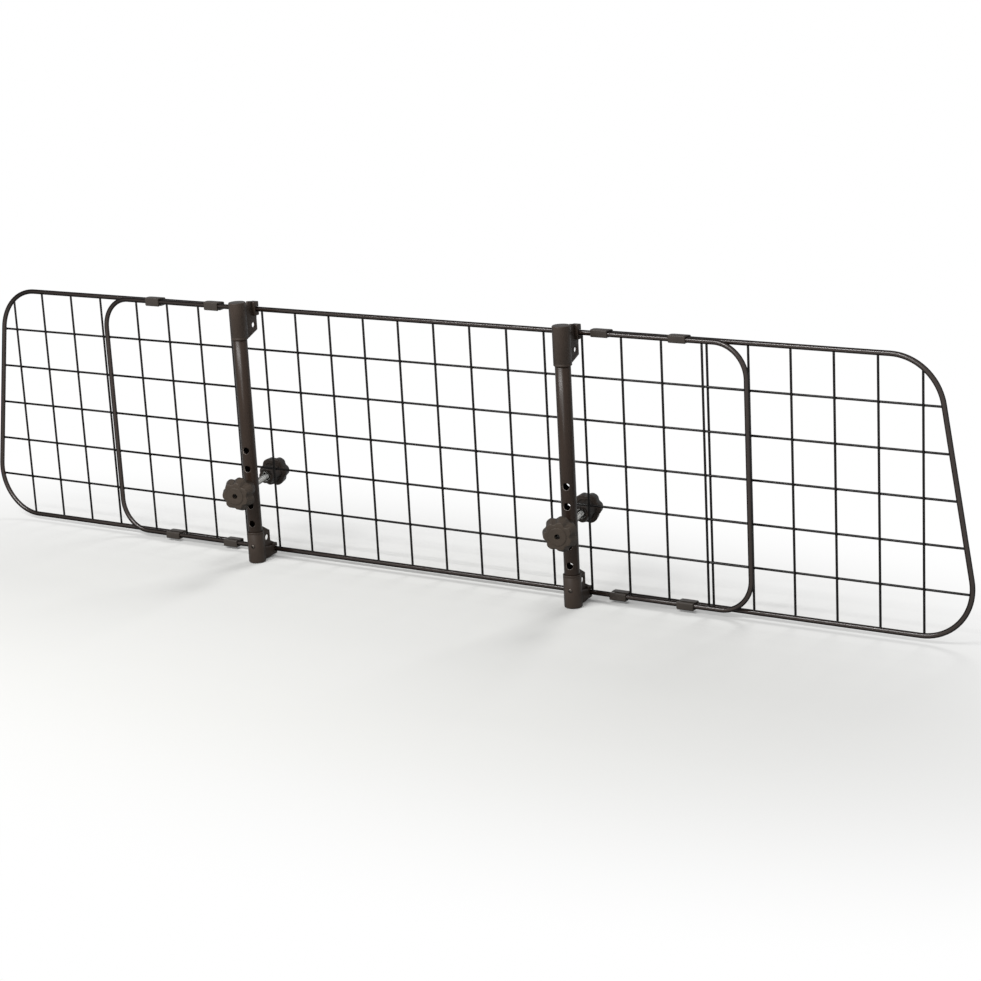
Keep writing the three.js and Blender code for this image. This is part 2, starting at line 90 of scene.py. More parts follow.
class Level(Enum):
    """Which of the two long rods a fitting or clip sits on."""

    BOTTOM = -1
    TOP = 1

    @property
    def word(self) -> str:
        """The word in the names of its clips."""
        return self.name.lower()

    @property
    def height(self) -> float:
        """Height of the rod's axis."""
        return TOP_Z if self is Level.TOP else BOTTOM_Z


# Finishes


def linear(hex_colour: str) -> tuple[float, float, float, float]:
    """Turns an sRGB colour to the linear one that a shader takes.

    Args:
        hex_colour: Six hex digits after a hash.

    Returns:
        Red, green, blue and an alpha of one.
    """
    shares = [int(hex_colour[i : i + 2], 16) / 255 for i in (1, 3, 5)]
    red, green, blue = (s / 12.92 if s <= 0.04045 else ((s + 0.055) / 1.055) ** 2.4 for s in shares)
    return red, green, blue, 1.0


def add_node(
    tree: bpy.types.NodeTree,
    kind: str,
    inputs: dict[str | int, object] | None = None,
    **settings: object,
) -> bpy.types.Node:
    """Adds a node with its settings, values and links.

    Args:
        tree: The node tree of a material or the world.
        kind: Blender's name for the kind of node.
        inputs: A value or an output socket for each named or numbered input.
        settings: The node's own properties.

    Returns:
        The new node.
    """
    node = tree.nodes.new(kind)
    for name, value in settings.items():
        setattr(node, name, value)
    for name, value in (inputs or {}).items():
        if isinstance(value, bpy.types.NodeSocket):
            tree.links.new(value, node.inputs[name])
        else:
            node.inputs[name].default_value = value
    return node


@dataclass(frozen=True)
class Finish:
    """A surface as it was made, plus a painted shade at its silhouettes, with its texture's sizes in
    millimetres.
    """

    name: str
    slot: str
    colour: str
    deep_colour: str
    roughness: float
    roughness_spread: float
    grain: float
    grain_height: float
    mottle: float
    # Painted shade: the colour that the base colour nears, and the specular level it takes, where a
    # surface turns away from the view between the two facing values below
    painted_rim_shade: str
    metallic: float = 0.0
    ior: float = 1.5
    specular: float = 0.5
    painted_rim_shade_specular: float = 0.5
    painted_rim_shade_from: float = 0.25
    painted_rim_shade_to: float = 0.9
    stretch: tuple[float, float, float] = (1.0, 1.0, 1.0)

    def material(self) -> bpy.types.Material:
        """Makes the material, or finds the one already made.

        Base colour runs between the two colours with a coarse noise. Where the surface turns away from the
        view it nears a dark colour, a painted shade at the silhouettes, and the specular level falls there
        too. Roughness follows another noise, and two noises, at the grain's size and at a third of it,
        raise the surface as bumps.

        Returns:
            The material.
        """
        made = bpy.data.materials.get(self.name)
        if made is not None:
            return made
        made = bpy.data.materials.new(self.name)
        made.use_nodes = True
        tree = made.node_tree
        tree.nodes.clear()
        place = add_node(tree, "ShaderNodeTexCoord").outputs["Object"]
        scale = tuple(s / MM for s in self.stretch)
        millimetres = add_node(tree, "ShaderNodeMapping", {"Vector": place, "Scale": scale}).outputs[0]
        mottle = add_node(
            tree,
            "ShaderNodeTexNoise",
            {"Vector": millimetres, "Scale": 1 / self.mottle, "Detail": 3.0, "Roughness": 0.6},
        )
        colours = add_node(
            tree,
            "ShaderNodeMix",
            {0: mottle.outputs["Fac"], 6: linear(self.deep_colour), 7: linear(self.colour)},
            data_type="RGBA",
        )
        # Painted rim shade: base colour darkens and specular falls where the surface turns away, standing
        # in for shade at the edges
        facing = add_node(tree, "ShaderNodeLayerWeight", {"Blend": 0.5}).outputs["Facing"]
        away = add_node(
            tree,
            "ShaderNodeMapRange",
            {"Value": facing, "From Min": self.painted_rim_shade_from, "From Max": self.painted_rim_shade_to},
            interpolation_type="SMOOTHSTEP",
        ).outputs[0]
        shaded = add_node(
            tree,
            "ShaderNodeMix",
            {0: away, 6: colours.outputs[2], 7: linear(self.painted_rim_shade)},
            data_type="RGBA",
        )
        gloss = add_node(
            tree,
            "ShaderNodeMapRange",
            {"Value": away, "To Min": self.specular, "To Max": self.painted_rim_shade_specular},
        )
        patches = add_node(
            tree,
            "ShaderNodeTexNoise",
            {"Vector": millimetres, "Scale": 2.3 / self.mottle, "Detail": 4.0, "Roughness": 0.65},
        )
        rough = add_node(
            tree,
            "ShaderNodeMapRange",
            {
                "Value": patches.outputs["Fac"],
                "From Min": 0.3,
                "From Max": 0.7,
                "To Min": self.roughness - self.roughness_spread,
                "To Max": self.roughness + self.roughness_spread,
            },
        )
        coarse = add_node(
            tree,
            "ShaderNodeTexNoise",
            {"Vector": millimetres, "Scale": 1 / self.grain, "Detail": 2.0, "Roughness": 0.5},
        )
        fine = add_node(
            tree,
            "ShaderNodeTexNoise",
            {"Vector": millimetres, "Scale": 3 / self.grain, "Detail": 1.0, "Roughness": 0.5},
        )
        heights = add_node(
            tree,
            "ShaderNodeMath",
            {0: fine.outputs["Fac"], 1: 0.35, 2: coarse.outputs["Fac"]},
            operation="MULTIPLY_ADD",
        )
        bump = add_node(
            tree,
            "ShaderNodeBump",
            {"Height": heights.outputs[0], "Strength": 1.0, "Distance": self.grain_height * MM},
        )
        shader = add_node(
            tree,
            "ShaderNodeBsdfPrincipled",
            {
                "Base Color": shaded.outputs[2],
                "Roughness": rough.outputs[0],
                "Metallic": self.metallic,
                "IOR": self.ior,
                "Specular IOR Level": gloss.outputs[0],
                "Normal": bump.outputs[0],
            },
        )
        add_node(tree, "ShaderNodeOutputMaterial", {"Surface": shader.outputs[0]})
        return made


# Polyester powder coat over drawn steel rod: satin, with the faint ripple of a sprayed and baked coat
ROD_COAT = Finish(
    name="powder_coated_rod_satin_brown_black",
    slot="coated_steel",
    colour="#30251f",
    deep_colour="#211814",
    roughness=0.22,
    roughness_spread=0.05,
    grain=1.6,
    grain_height=0.012,
    mottle=38.0,
    painted_rim_shade="#0a0706",
    specular=0.46,
    painted_rim_shade_specular=0.02,
    painted_rim_shade_from=0.08,
    painted_rim_shade_to=0.42,
)

# The same coat on the posts' tubes, whose wider flanks look a little paler and softer
TUBE_COAT = Finish(
    name="powder_coated_tube_satin_warm_brown",
    slot="coated_steel",
    colour="#32271f",
    deep_colour="#241b16",
    roughness=0.3,
    roughness_spread=0.04,
    grain=1.8,
    grain_height=0.014,
    mottle=45.0,
    painted_rim_shade="#15100c",
    specular=0.18,
    painted_rim_shade_specular=0.1,
    painted_rim_shade_from=0.15,
    painted_rim_shade_to=0.8,
)

# Where a hole was punched the coat is thin and the steel's edge shows; the pale colour is also partly a
# painted highlight on the holes' rims
PUNCHED_EDGE_AND_HIGHLIGHT = Finish(
    name="thinly_coated_punched_steel_edge",
    slot="coated_steel",
    colour="#8f857e",
    deep_colour="#5f554e",
    roughness=0.34,
    roughness_spread=0.08,
    grain=0.8,
    grain_height=0.01,
    mottle=2.5,
    painted_rim_shade="#3a322d",
    specular=0.4,
    painted_rim_shade_specular=0.2,
)

# The coat is thicker on the thin welded wire and rounds off the welds; its near-black colour, darker than
# the rods' same coat, is painted shade
SHADED_WIRE_COAT = Finish(
    name="powder_coated_wire_near_black",
    slot="coated_wire",
    colour="#120f0e",
    deep_colour="#0a0808",
    roughness=0.3,
    roughness_spread=0.06,
    grain=1.2,
    grain_height=0.01,
    mottle=30.0,
    painted_rim_shade="#040303",
    specular=0.2,
    painted_rim_shade_specular=0.01,
    painted_rim_shade_from=0.1,
    painted_rim_shade_to=0.5,
)

# Glass-filled polyamide, injection moulded in a spark-eroded tool, which leaves a fine matt grain
FITTING_POLYAMIDE = Finish(
    name="moulded_polyamide_fitting_grain",
    slot="fitting_plastic",
    colour="#382e27",
    deep_colour="#2b231d",
    roughness=0.48,
    roughness_spread=0.06,
    grain=0.55,
    grain_height=0.02,
    mottle=16.0,
    painted_rim_shade="#17120f",
    ior=1.53,
    specular=0.2,
    painted_rim_shade_specular=0.08,
)

# Polypropylene star knobs, moulded and matt, a little lighter than the posts
KNOB_POLYPROPYLENE = Finish(
    name="moulded_polypropylene_knob_grain",
    slot="knob_plastic",
    colour="#40372f",
    deep_colour="#322b24",
    roughness=0.52,
    roughness_spread=0.06,
    grain=0.6,
    grain_height=0.022,
    mottle=14.0,
    painted_rim_shade="#1d1813",
    ior=1.49,
    specular=0.22,
    painted_rim_shade_specular=0.1,
)

# The rear knobs take the same resin as the front ones, darkened as painted shade, since they sit behind
# the post and the mesh
REAR_KNOB_SHADED_POLYPROPYLENE = Finish(
    name="moulded_polypropylene_rear_knob_dark",
    slot="knob_plastic",
    colour="#302823",
    deep_colour="#201b17",
    roughness=0.46,
    roughness_spread=0.06,
    grain=0.6,
    grain_height=0.022,
    mottle=14.0,
    painted_rim_shade="#0d0a08",
    ior=1.49,
    specular=0.2,
    painted_rim_shade_specular=0.06,
    painted_rim_shade_from=0.15,
    painted_rim_shade_to=0.7,
)

# Acetal clips, moulded smooth so that the rods slide in them, dulled by handling
CLIP_ACETAL = Finish(
    name="moulded_acetal_clip_matt",
    slot="clip_plastic",
    colour="#3a342f",
    deep_colour="#2b2622",
    roughness=0.48,
    roughness_spread=0.07,
    grain=0.7,
    grain_height=0.012,
    mottle=12.0,
    painted_rim_shade="#1c1816",
    ior=1.48,
    specular=0.25,
    painted_rim_shade_specular=0.1,
)

# Grey zinc plate gone dull on the small screws in the feet
DULL_ZINC = Finish(
    name="dull_zinc_plated_steel",
    slot="zinc_steel",
    colour="#6f6963",
    deep_colour="#534d48",
    roughness=0.34,
    roughness_spread=0.08,
    grain=0.6,
    grain_height=0.008,
    mottle=3.0,
    painted_rim_shade="#1b1816",
    metallic=1.0,
    painted_rim_shade_from=0.06,
    painted_rim_shade_to=0.3,
)

# Bright zinc plate over rolled steel threads, with streaks along the bolt
BRIGHT_ZINC = Finish(
    name="bright_zinc_plated_steel",
    slot="zinc_steel",
    colour="#c9c9c5",
    deep_colour="#a9aaa8",
    roughness=0.24,
    roughness_spread=0.07,
    grain=0.5,
    grain_height=0.006,
    mottle=6.0,
    painted_rim_shade="#0c0a09",
    metallic=1.0,
    painted_rim_shade_from=0.06,
    painted_rim_shade_to=0.3,
    stretch=(1.0, 0.3, 1.0),
)


# Surfaces


class Shape:
    """Points in millimetres and faces of one piece, grown one surface at a time."""

    def __init__(self) -> None:
        """Starts with no surface."""
        self.points: list[np.ndarray] = []
        self.faces: list[list[int]] = []
        self.count = 0

    def grid(self, points: np.ndarray, wrap_rows: bool = False, wrap_columns: bool = True) -> None:
        """Adds one surface, or several alike, from points on a grid.

        Each face joins a point, its neighbour in the row, and the two points of the next row.

        Args:
            points: Places, as rows by columns by 3, with any dimensions before them for copies.
            wrap_rows: True where the last row joins the first.
            wrap_columns: True where each row is a ring.
        """
        rows, columns = points.shape[-3:-1]
        copies = points.reshape(-1, rows, columns, 3)
        numbers = self.count + np.arange(copies[..., 0].size).reshape(copies.shape[:3])
        beside = np.roll(numbers, -1, axis=2)
        below = np.roll(numbers, -1, axis=1)
        across = np.roll(below, -1, axis=2)
        faces = np.stack([numbers, beside, across, below], axis=-1)
        faces = faces[:, : rows if wrap_rows else rows - 1, : columns if wrap_columns else columns - 1]
        self.points.append(copies.reshape(-1, 3))
        self.faces.extend(faces.reshape(-1, 4).tolist())
        self.count += copies.shape[0] * rows * columns

    def triangles(self, points: np.ndarray, faces: Sequence[Sequence[int]]) -> None:
        """Adds loose triangles.

        Args:
            points: Places, as points by 3.
            faces: Three numbers of points for each triangle.
        """
        self.faces.extend([n + self.count for n in face] for face in faces)
        self.points.append(points)
        self.count += len(points)

    def piece(
        self,
        name: str,
        finish: Finish,
        body: str,
        node: str,
        sharp_degrees: float = 40.0,
        bevel: float = 0.0,
    ) -> bpy.types.Object:
        """Makes the object, closes its poles and seams, and gives it its finish and body.

        Args:
            name: The piece's name.
            finish: Its finish.
            body: The body that it rides on.
            node: The node that it stands for.
            sharp_degrees: Edges that turn by more than this stay sharp.
            bevel: Width of the bevel on the sharp edges, or zero.

        Returns:
            The piece.
        """
        mesh = bpy.data.meshes.new(name)
        mesh.from_pydata((np.concatenate(self.points) * MM).tolist(), [], self.faces)
        work = bmesh.new()
        work.from_mesh(mesh)
        bmesh.ops.remove_doubles(work, verts=work.verts, dist=1e-6)
        bmesh.ops.dissolve_degenerate(work, edges=work.edges, dist=1e-7)
        bmesh.ops.recalc_face_normals(work, faces=work.faces)
        work.to_mesh(mesh)
        work.free()
        mesh.shade_smooth()
        mesh.set_sharp_from_angle(angle=math.radians(sharp_degrees))
        mesh.materials.append(finish.material())
        made = bpy.data.objects.new(name, mesh)
        bpy.context.scene.collection.objects.link(made)
        if bevel:
            rounding = made.modifiers.new("moulded_edges", "BEVEL")
            rounding.width = bevel * MM
            rounding.segments = 2
            rounding.limit_method = "ANGLE"
            rounding.angle_limit = math.radians(sharp_degrees)
            rounding.harden_normals = True
        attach(made, body)
        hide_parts(node)
        log.info("%s: %d points", name, len(mesh.vertices))
        return made


def placed(points: np.ndarray, origin: Sequence[float], turn: float = 0.0) -> np.ndarray:
    """Turns points about Z and moves them.

    Args:
        points: Places, with 3 numbers in the last dimension.
        origin: Where the old origin goes.
        turn: The turn in radians.

    Returns:
        The new places.
    """
    cosine, sine = math.cos(turn), math.sin(turn)
    rotation = np.array([[cosine, sine, 0.0], [-sine, cosine, 0.0], [0.0, 0.0, 1.0]])
    return points @ rotation + np.asarray(origin)


def ring(sides: int, start: float = 0.0) -> np.ndarray:
    """Angles of a ring's points, evenly spaced from a start in radians."""
    return start + 2 * np.pi * np.arange(sides) / sides


def about_y(x: np.ndarray, y: np.ndarray, z: np.ndarray) -> np.ndarray:
    """A grid of points from X and Z, as rows by columns, and one Y for each row."""
    return np.stack([x, np.broadcast_to(y[:, None], x.shape), z], axis=-1)


def turned(profile: Sequence[tuple[float, float]], sides: int) -> np.ndarray:
    """A surface of revolution about Z, in which each point of the profile goes round a full turn.

    Args:
        profile: Radius and height of each row.
        sides: Points in each ring.

    Returns:
        A grid of points.
    """
    radius, height = np.asarray(profile, float).T
    angle = ring(sides)
    x = radius[:, None] * np.cos(angle)
    y = radius[:, None] * np.sin(angle)
    return np.stack([x, y, np.broadcast_to(height[:, None], x.shape)], axis=-1)


def rounded_outline(
    corners: Sequence[tuple[float, float, float]],
    closed: bool,
    steps: int = 20,
) -> np.ndarray:
    """A polyline with its corners rounded by arcs.

    An arc of radius r at a corner of half angle h starts r / tan(h) before it and turns about a
    point r / sin(h) along the corner's bisector.

    Args:
        corners: Two coordinates and the radius of each corner, which is zero at an end.
        closed: True where the last corner joins the first.
        steps: Steps of each arc.

    Returns:
        Points by 2.
    """
    places = np.array([corner[:2] for corner in corners])
    parts = []
    for i, (x, z, radius) in enumerate(corners):
        here = np.array([x, z])
        if radius == 0:
            parts.append(here[None])
            continue
        to_last = places[i - 1] - here
        to_next = places[(i + 1) % len(corners)] - here
        to_last = to_last / np.linalg.norm(to_last)
        to_next = to_next / np.linalg.norm(to_next)
        half = math.acos(float(to_last @ to_next)) / 2
        bisector = (to_last + to_next) / np.linalg.norm(to_last + to_next)
        centre = here + bisector * radius / math.sin(half)
        start = here + to_last * radius / math.tan(half) - centre
        end = here + to_next * radius / math.tan(half) - centre
        share = np.linspace(0, 1, steps + 1)[:, None]
        sweep = math.pi - 2 * half
        arc = (np.sin((1 - share) * sweep) * start + np.sin(share * sweep) * end) / math.sin(sweep)
        parts.append(centre + arc)
    outline = np.concatenate(parts)
    return np.concatenate([outline, outline[:1]]) if closed else outline


def swept_rod(outline: np.ndarray, radius: float, y: float, closed: bool, sides: int = 20) -> np.ndarray:
    """A round rod along an outline in X and Z.

    Each ring lies in the plane of Y and the outline's own normal. An open rod's ends are rounded off
    by rings that shrink to a point within half a radius or less of the end.

    Args:
        outline: Points by 2. A closed outline repeats its first point at its end.
        radius: The rod's radius.
        y: Depth of the rod's axis.
        closed: True for a ring without ends.
        sides: Points round the rod.

    Returns:
        A grid of points.
    """
    step = np.diff(outline, axis=0)
    step = step / np.linalg.norm(step, axis=1, keepdims=True)
    before = np.concatenate([step[-1:] if closed else step[:1], step])
    after = np.concatenate([step, step[:1] if closed else step[-1:]])
    tangent = before + after
    tangent = tangent / np.linalg.norm(tangent, axis=1, keepdims=True)
    line = outline
    radii = np.full(len(line), radius)
    if not closed:
        distance_shares = np.array([0.0, 0.1, 0.35, 0.8])
        radius_shares = np.array([0.0, 0.75, 0.93, 1.0])
        rings = len(radius_shares)
        back = distance_shares[:, None] * radius * 0.5
        first, last = line[0] + tangent[0] * back, line[-1] - tangent[-1] * back[::-1]
        line = np.concatenate([first, line[1:-1], last])
        first, last = tangent[:1].repeat(rings, 0), tangent[-1:].repeat(rings, 0)
        tangent = np.concatenate([first, tangent[1:-1], last])
        shrink = radius_shares * radius
        radii = np.concatenate([shrink, np.full(len(line) - 2 * rings, radius), shrink[::-1]])
    if closed:
        line, tangent, radii = line[:-1], tangent[:-1], radii[:-1]
    normal = np.stack([-tangent[:, 1], tangent[:, 0]], axis=-1)
    angle = ring(sides)
    flat = line[:, None] + radii[:, None, None] * np.cos(angle)[None, :, None] * normal[:, None]
    depth = y + radii[:, None] * np.sin(angle)
    return np.stack([flat[..., 0], depth, flat[..., 1]], axis=-1)


def reach(outline: np.ndarray, fixed: int, at: np.ndarray, side: int) -> np.ndarray:
    """How far an outline lies to one side, on lines where one coordinate is fixed.

    On each step that a line crosses, the other coordinate is interpolated, and the furthest counts.

    Args:
        outline: Points by 2.
        fixed: 0 for lines of a given X, 1 for lines of a given Z.
        at: The given coordinates.
        side: 1 for the highest place, -1 for the lowest.

    Returns:
        One coordinate for each line.
    """
    low, high = outline[:-1], outline[1:]
    span = high[:, fixed] - low[:, fixed]
    share = (at[:, None] - low[:, fixed]) / np.where(span == 0, np.nan, span)
    found = low[:, 1 - fixed] + share * (high[:, 1 - fixed] - low[:, 1 - fixed])
    inside = (share >= -1e-9) & (share <= 1 + 1e-9)
    return side * np.max(np.where(inside, side * found, -np.inf), axis=1)


def wires(start: np.ndarray, end: np.ndarray, radius: float, sides: int = 12) -> np.ndarray:
    """Straight wires with rounded ends, all at once.

    Each wire is a stack of rings. Those next to its ends shrink as a half ellipse does, and the tip
    is a flat disc.

    Args:
        start: Where each wire starts, wires by 3.
        end: Where each wire ends.
        radius: The wires' radius.
        sides: Points round a wire.

    Returns:
        Grids of points, one for each wire.
    """
    axis = end - start
    length = np.linalg.norm(axis, axis=1, keepdims=True)
    axis = axis / length
    across = np.cross(axis, [0.0, 1.0, 0.0])
    across = across / np.linalg.norm(across, axis=1, keepdims=True)
    third = np.cross(axis, across)
    end_shares = np.array([0.0, 0.0, 0.12, 0.4, 1.0])
    radii = radius * np.sqrt(1 - (1 - end_shares) ** 2)
    radii[1] = 0.5 * radii[2]
    along = end_shares * radius * 0.8
    radii = np.concatenate([radii, radii[::-1]])
    place = np.concatenate([np.broadcast_to(along, (len(axis), len(along))), length - along[::-1]], axis=1)
    angle = ring(sides)
    around = across[:, None] * np.cos(angle)[None, :, None] + third[:, None] * np.sin(angle)[None, :, None]
    middle = start[:, None] + axis[:, None] * place[..., None]
    return middle[:, :, None] + radii[None, :, None, None] * around[:, None]


def welds(places: np.ndarray, half_sizes: Sequence[float], sides: int = 10) -> np.ndarray:
    """Beads of weld under the coat: ellipsoids at many places at once.

    Args:
        places: The beads' middles, beads by 3.
        half_sizes: Half the size of a bead along X, Y and Z.
        sides: Points round a bead.

    Returns:
        Grids of points, one for each bead.
    """
    rise = np.linspace(-np.pi / 2, np.pi / 2, 7)
    angle = ring(sides)
    x = np.cos(rise)[:, None] * np.cos(angle)
    y = np.cos(rise)[:, None] * np.sin(angle)
    z = np.broadcast_to(np.sin(rise)[:, None], x.shape)
    bead = np.stack([x, y, z], axis=-1) * np.asarray(half_sizes)
    return places[:, None, None] + bead


def plate(
    loops: Sequence[np.ndarray],
    low: float,
    high: float,
    edges: Sequence[np.ndarray | float],
    shape: Shape,
    place: Sequence[float],
) -> None:
    """Adds a plate drawn in Y and Z that runs along X, with rounded edges at both faces.

    Near a face each loop moves towards the plate's inside by its edge times one minus the cosine of
    an angle from 0 to 90 degrees, while its X nears the face by the edge times the angle's sine. At
    a sharp corner the move is limited, so that it doesn't run far past the loop.

    Args:
        loops: The outer loop, anticlockwise, then any holes, clockwise, each points by 2.
        low: X of one face.
        high: X of the other.
        edges: Radius of the rounding for each loop, or for each of its points.
        shape: What the plate is added to.
        place: Where the drawing's origin goes.
    """
    angle = np.linspace(0, np.pi / 2, 4)
    least_square = 0.6
    caps = []
    for loop, edge in zip(loops, edges):
        step = np.roll(loop, -1, axis=0) - loop
        step = step / np.linalg.norm(step, axis=1, keepdims=True)
        last = np.roll(step, 1, axis=0)
        inward = np.stack([-step[:, 1] - last[:, 1], step[:, 0] + last[:, 0]], axis=-1)
        inward = inward / np.maximum((inward**2).sum(1, keepdims=True), least_square) * 2
        size = np.broadcast_to(np.asarray(edge, float), len(loop))[None, :, None]
        moved = loop + inward * size * (1 - np.cos(angle))[:, None, None]
        rise = size[..., 0] * (1 - np.sin(angle))[:, None]
        upper = np.concatenate([(high - rise)[..., None], moved], axis=-1)
        lower = np.concatenate([(low + rise)[..., None], moved], axis=-1)[::-1]
        rows = np.concatenate([lower, upper])
        shape.grid(rows + np.asarray(place), wrap_rows=False)
        caps.append(moved[-1])
    for x in (low, high):
        flat = [[Vector((y, z, 0.0)) for y, z in cap] for cap in caps]
        faces = tessellate_polygon(flat)
        points = np.concatenate(caps)
        points = np.concatenate([np.full((len(points), 1), x), points], axis=1)
        shape.triangles(points + np.asarray(place), faces)


def softened(corners: Sequence[tuple[float, float]], radius: float, steps: int = 3) -> np.ndarray:
    """A closed loop whose corners are rounded by one small radius.

    Args:
        corners: The loop's corners.
        radius: Radius of the rounding.
        steps: Steps of each arc.

    Returns:
        Points by 2.
    """
    return rounded_outline([(y, z, radius) for y, z in corners], True, steps)[:-1]


# Mesh panels


@dataclass
class WireGrid:
    """Welded mesh of upright wires and, behind them, cross wires."""

    radius: float = 1.38
    bite: float = 0.35
    overhang: float = 2.2
    into_rod: float = 1.2
    crossing_weld: tuple[float, float, float] = (1.9, 1.25, 1.9)
    upright_weld: tuple[float, float, float] = (1.8, 1.6, 1.5)
    upright_weld_shift: float = 0.4
    row_weld: tuple[float, float, float] = (1.6, 1.5, 1.7)
    row_weld_shift: float = 0.5

    def add(
        self,
        shape: Shape,
        outline: np.ndarray,
        uprights: np.ndarray,
        rows: np.ndarray,
        y: float,
        open_side: float | None,
    ) -> None:
        """Adds the wires and the welds between them and at the rod.

        Args:
            shape: What the wires are added to.
            outline: The rod's centre line in X and Z.
            uprights: X of each upright wire.
            rows: Z of each cross wire.
            y: Depth of the rod and of the uprights.
            open_side: X where the cross wires end free, or None where the rod is on both sides.
        """
        inset = self.radius + self.into_rod
        low = reach(outline, 0, uprights, -1) + inset
        high = reach(outline, 0, uprights, 1) - inset
        depth = np.full(len(uprights), y)
        foot = np.stack([uprights, depth, low], axis=-1)
        head = np.stack([uprights, depth, high], axis=-1)
        shape.grid(wires(foot, head, self.radius))
        behind = y + 2 * self.radius - self.bite
        left = reach(outline, 1, rows, -1) + inset
        right = reach(outline, 1, rows, 1) - inset
        if open_side is not None and open_side < uprights.mean():
            left = np.full(len(rows), open_side)
        elif open_side is not None:
            right = np.full(len(rows), open_side)
        depth = np.full(len(rows), behind)
        start = np.stack([left, depth, rows], axis=-1)
        end = np.stack([right, depth, rows], axis=-1)
        shape.grid(wires(start, end, self.radius))
        x, z = np.meshgrid(uprights, rows)
        between = np.full(x.size, y + self.radius - self.bite / 2)
        crossings = np.stack([x.ravel(), between, z.ravel()], axis=-1)
        shape.grid(welds(crossings, self.crossing_weld))
        shift = np.array([0, 0, self.upright_weld_shift])
        shape.grid(welds(np.concatenate([foot - shift, head + shift]), self.upright_weld))
        at_rod = [tips for tips in (start, end) if open_side is None or tips[0, 0] != open_side]
        shape.grid(welds(np.concatenate(at_rod) - [0, self.row_weld_shift, 0], self.row_weld))


@dataclass
class SlidingClip:
    """A clip that holds a wing's rod behind the panel's rod. It is open towards the mesh."""

    length: float = 21.5
    outward: float = 5.2
    back_outward: float = 3.7
    wall: float = 1.8
    front_wall: float = 1.3
    slot_half: float = 1.8
    corner: float = 1.6
    end_rounding: float = 1.2
    lip_rounding: float = 0.6
    bore_rounding: float = 0.25

    def build(self, node: str, body: str, x: float, level: Level, inward: float) -> None:
        """Builds one clip.

        The section's loop runs round the outside from one lip of the slot to the other, then up the
        slot, round the channel over both rods and back.

        Args:
            node: The node that the clip stands for.
            body: The body that it rides on.
            x: The middle of its length.
            level: The rod that it sits on.
            inward: How far it reaches from the rods' axes towards the mesh.
        """
        front = -ROD_RADIUS - self.front_wall
        back = ROD_SPACING + ROD_RADIUS + self.wall
        bore = ROD_RADIUS + ROD_PLAY
        corners = [
            (self.slot_half, -inward),
            (back, -inward),
            (back, self.back_outward),
            (ROD_RADIUS, self.outward),
            (front, self.outward),
            (front, -inward),
        ]
        rounded = [(y, z, self.corner) for y, z in corners[1:]]
        outer = rounded_outline([(*corners[0], 0), *rounded, (-self.slot_half, -inward, 0)], False, 4)
        lip = math.asin(self.slot_half / bore)
        near = np.linspace(1.5 * np.pi - lip, np.pi / 2, 14)
        far = np.linspace(np.pi / 2, -np.pi / 2, 14)
        turn_in = np.stack([bore * np.cos(near), bore * np.sin(near)], axis=-1)
        turn_out = np.stack([ROD_SPACING + bore * np.cos(far), bore * np.sin(far)], axis=-1)
        slot_end = [[self.slot_half, -math.sqrt(bore**2 - self.slot_half**2)]]
        inner = np.concatenate([turn_in, turn_out, slot_end])
        loop = np.concatenate([outer, inner])
        edges = np.full(len(loop), self.bore_rounding)
        edges[: len(outer)] = self.end_rounding
        edges[0] = edges[len(outer) - 1] = self.lip_rounding
        if level is Level.BOTTOM:
            loop, edges = (loop * [1, -1])[::-1], edges[::-1]
        shape = Shape()
        plate([loop], -self.length / 2, self.length / 2, [edges], shape, (x, PANEL_Y, level.height))
        shape.piece(f"{node}_shell", CLIP_ACETAL, body, node, sharp_degrees=50)


@dataclass
class CentrePanel:
    """The centre panel: a closed rod, its mesh and the four clips fixed at its outer ends."""

    width: float = 906.0
    corner: float = 39.0
    columns: int = 17
    clip_inset: float = 82.0
    body: str = "guard"

    def build(self) -> None:
        """Builds the rod, the wires and the clips."""
        left, right = PANEL_MIDDLE - self.width / 2, PANEL_MIDDLE + self.width / 2
        corners = [(right, BOTTOM_Z), (right, TOP_Z), (left, TOP_Z), (left, BOTTOM_Z)]
        outline = rounded_outline([(x, z, self.corner) for x, z in corners], True)
        rod = Shape()
        rod.grid(swept_rod(outline, ROD_RADIUS, PANEL_Y, True), wrap_rows=True)
        rod.piece("centre_frame_rod", ROD_COAT, self.body, "centre_frame")
        mesh = Shape()
        uprights = PANEL_MIDDLE + PITCH * (np.arange(self.columns) - (self.columns - 1) / 2)
        WireGrid().add(mesh, outline, uprights, ROW_HEIGHTS, PANEL_Y, None)
        mesh.piece("centre_mesh_wires", SHADED_WIRE_COAT, self.body, "centre_mesh")
        for side in Side:
            for level in Level:
                deep = side is Side.LEFT and level is Level.TOP
                x = PANEL_MIDDLE + side.value * (self.width / 2 - self.clip_inset)
                node = f"{side.word}_outer_clip_{level.word}"
                SlidingClip().build(node, self.body, x, level, DEEP_CLIP_REACH if deep else CLIP_REACH)


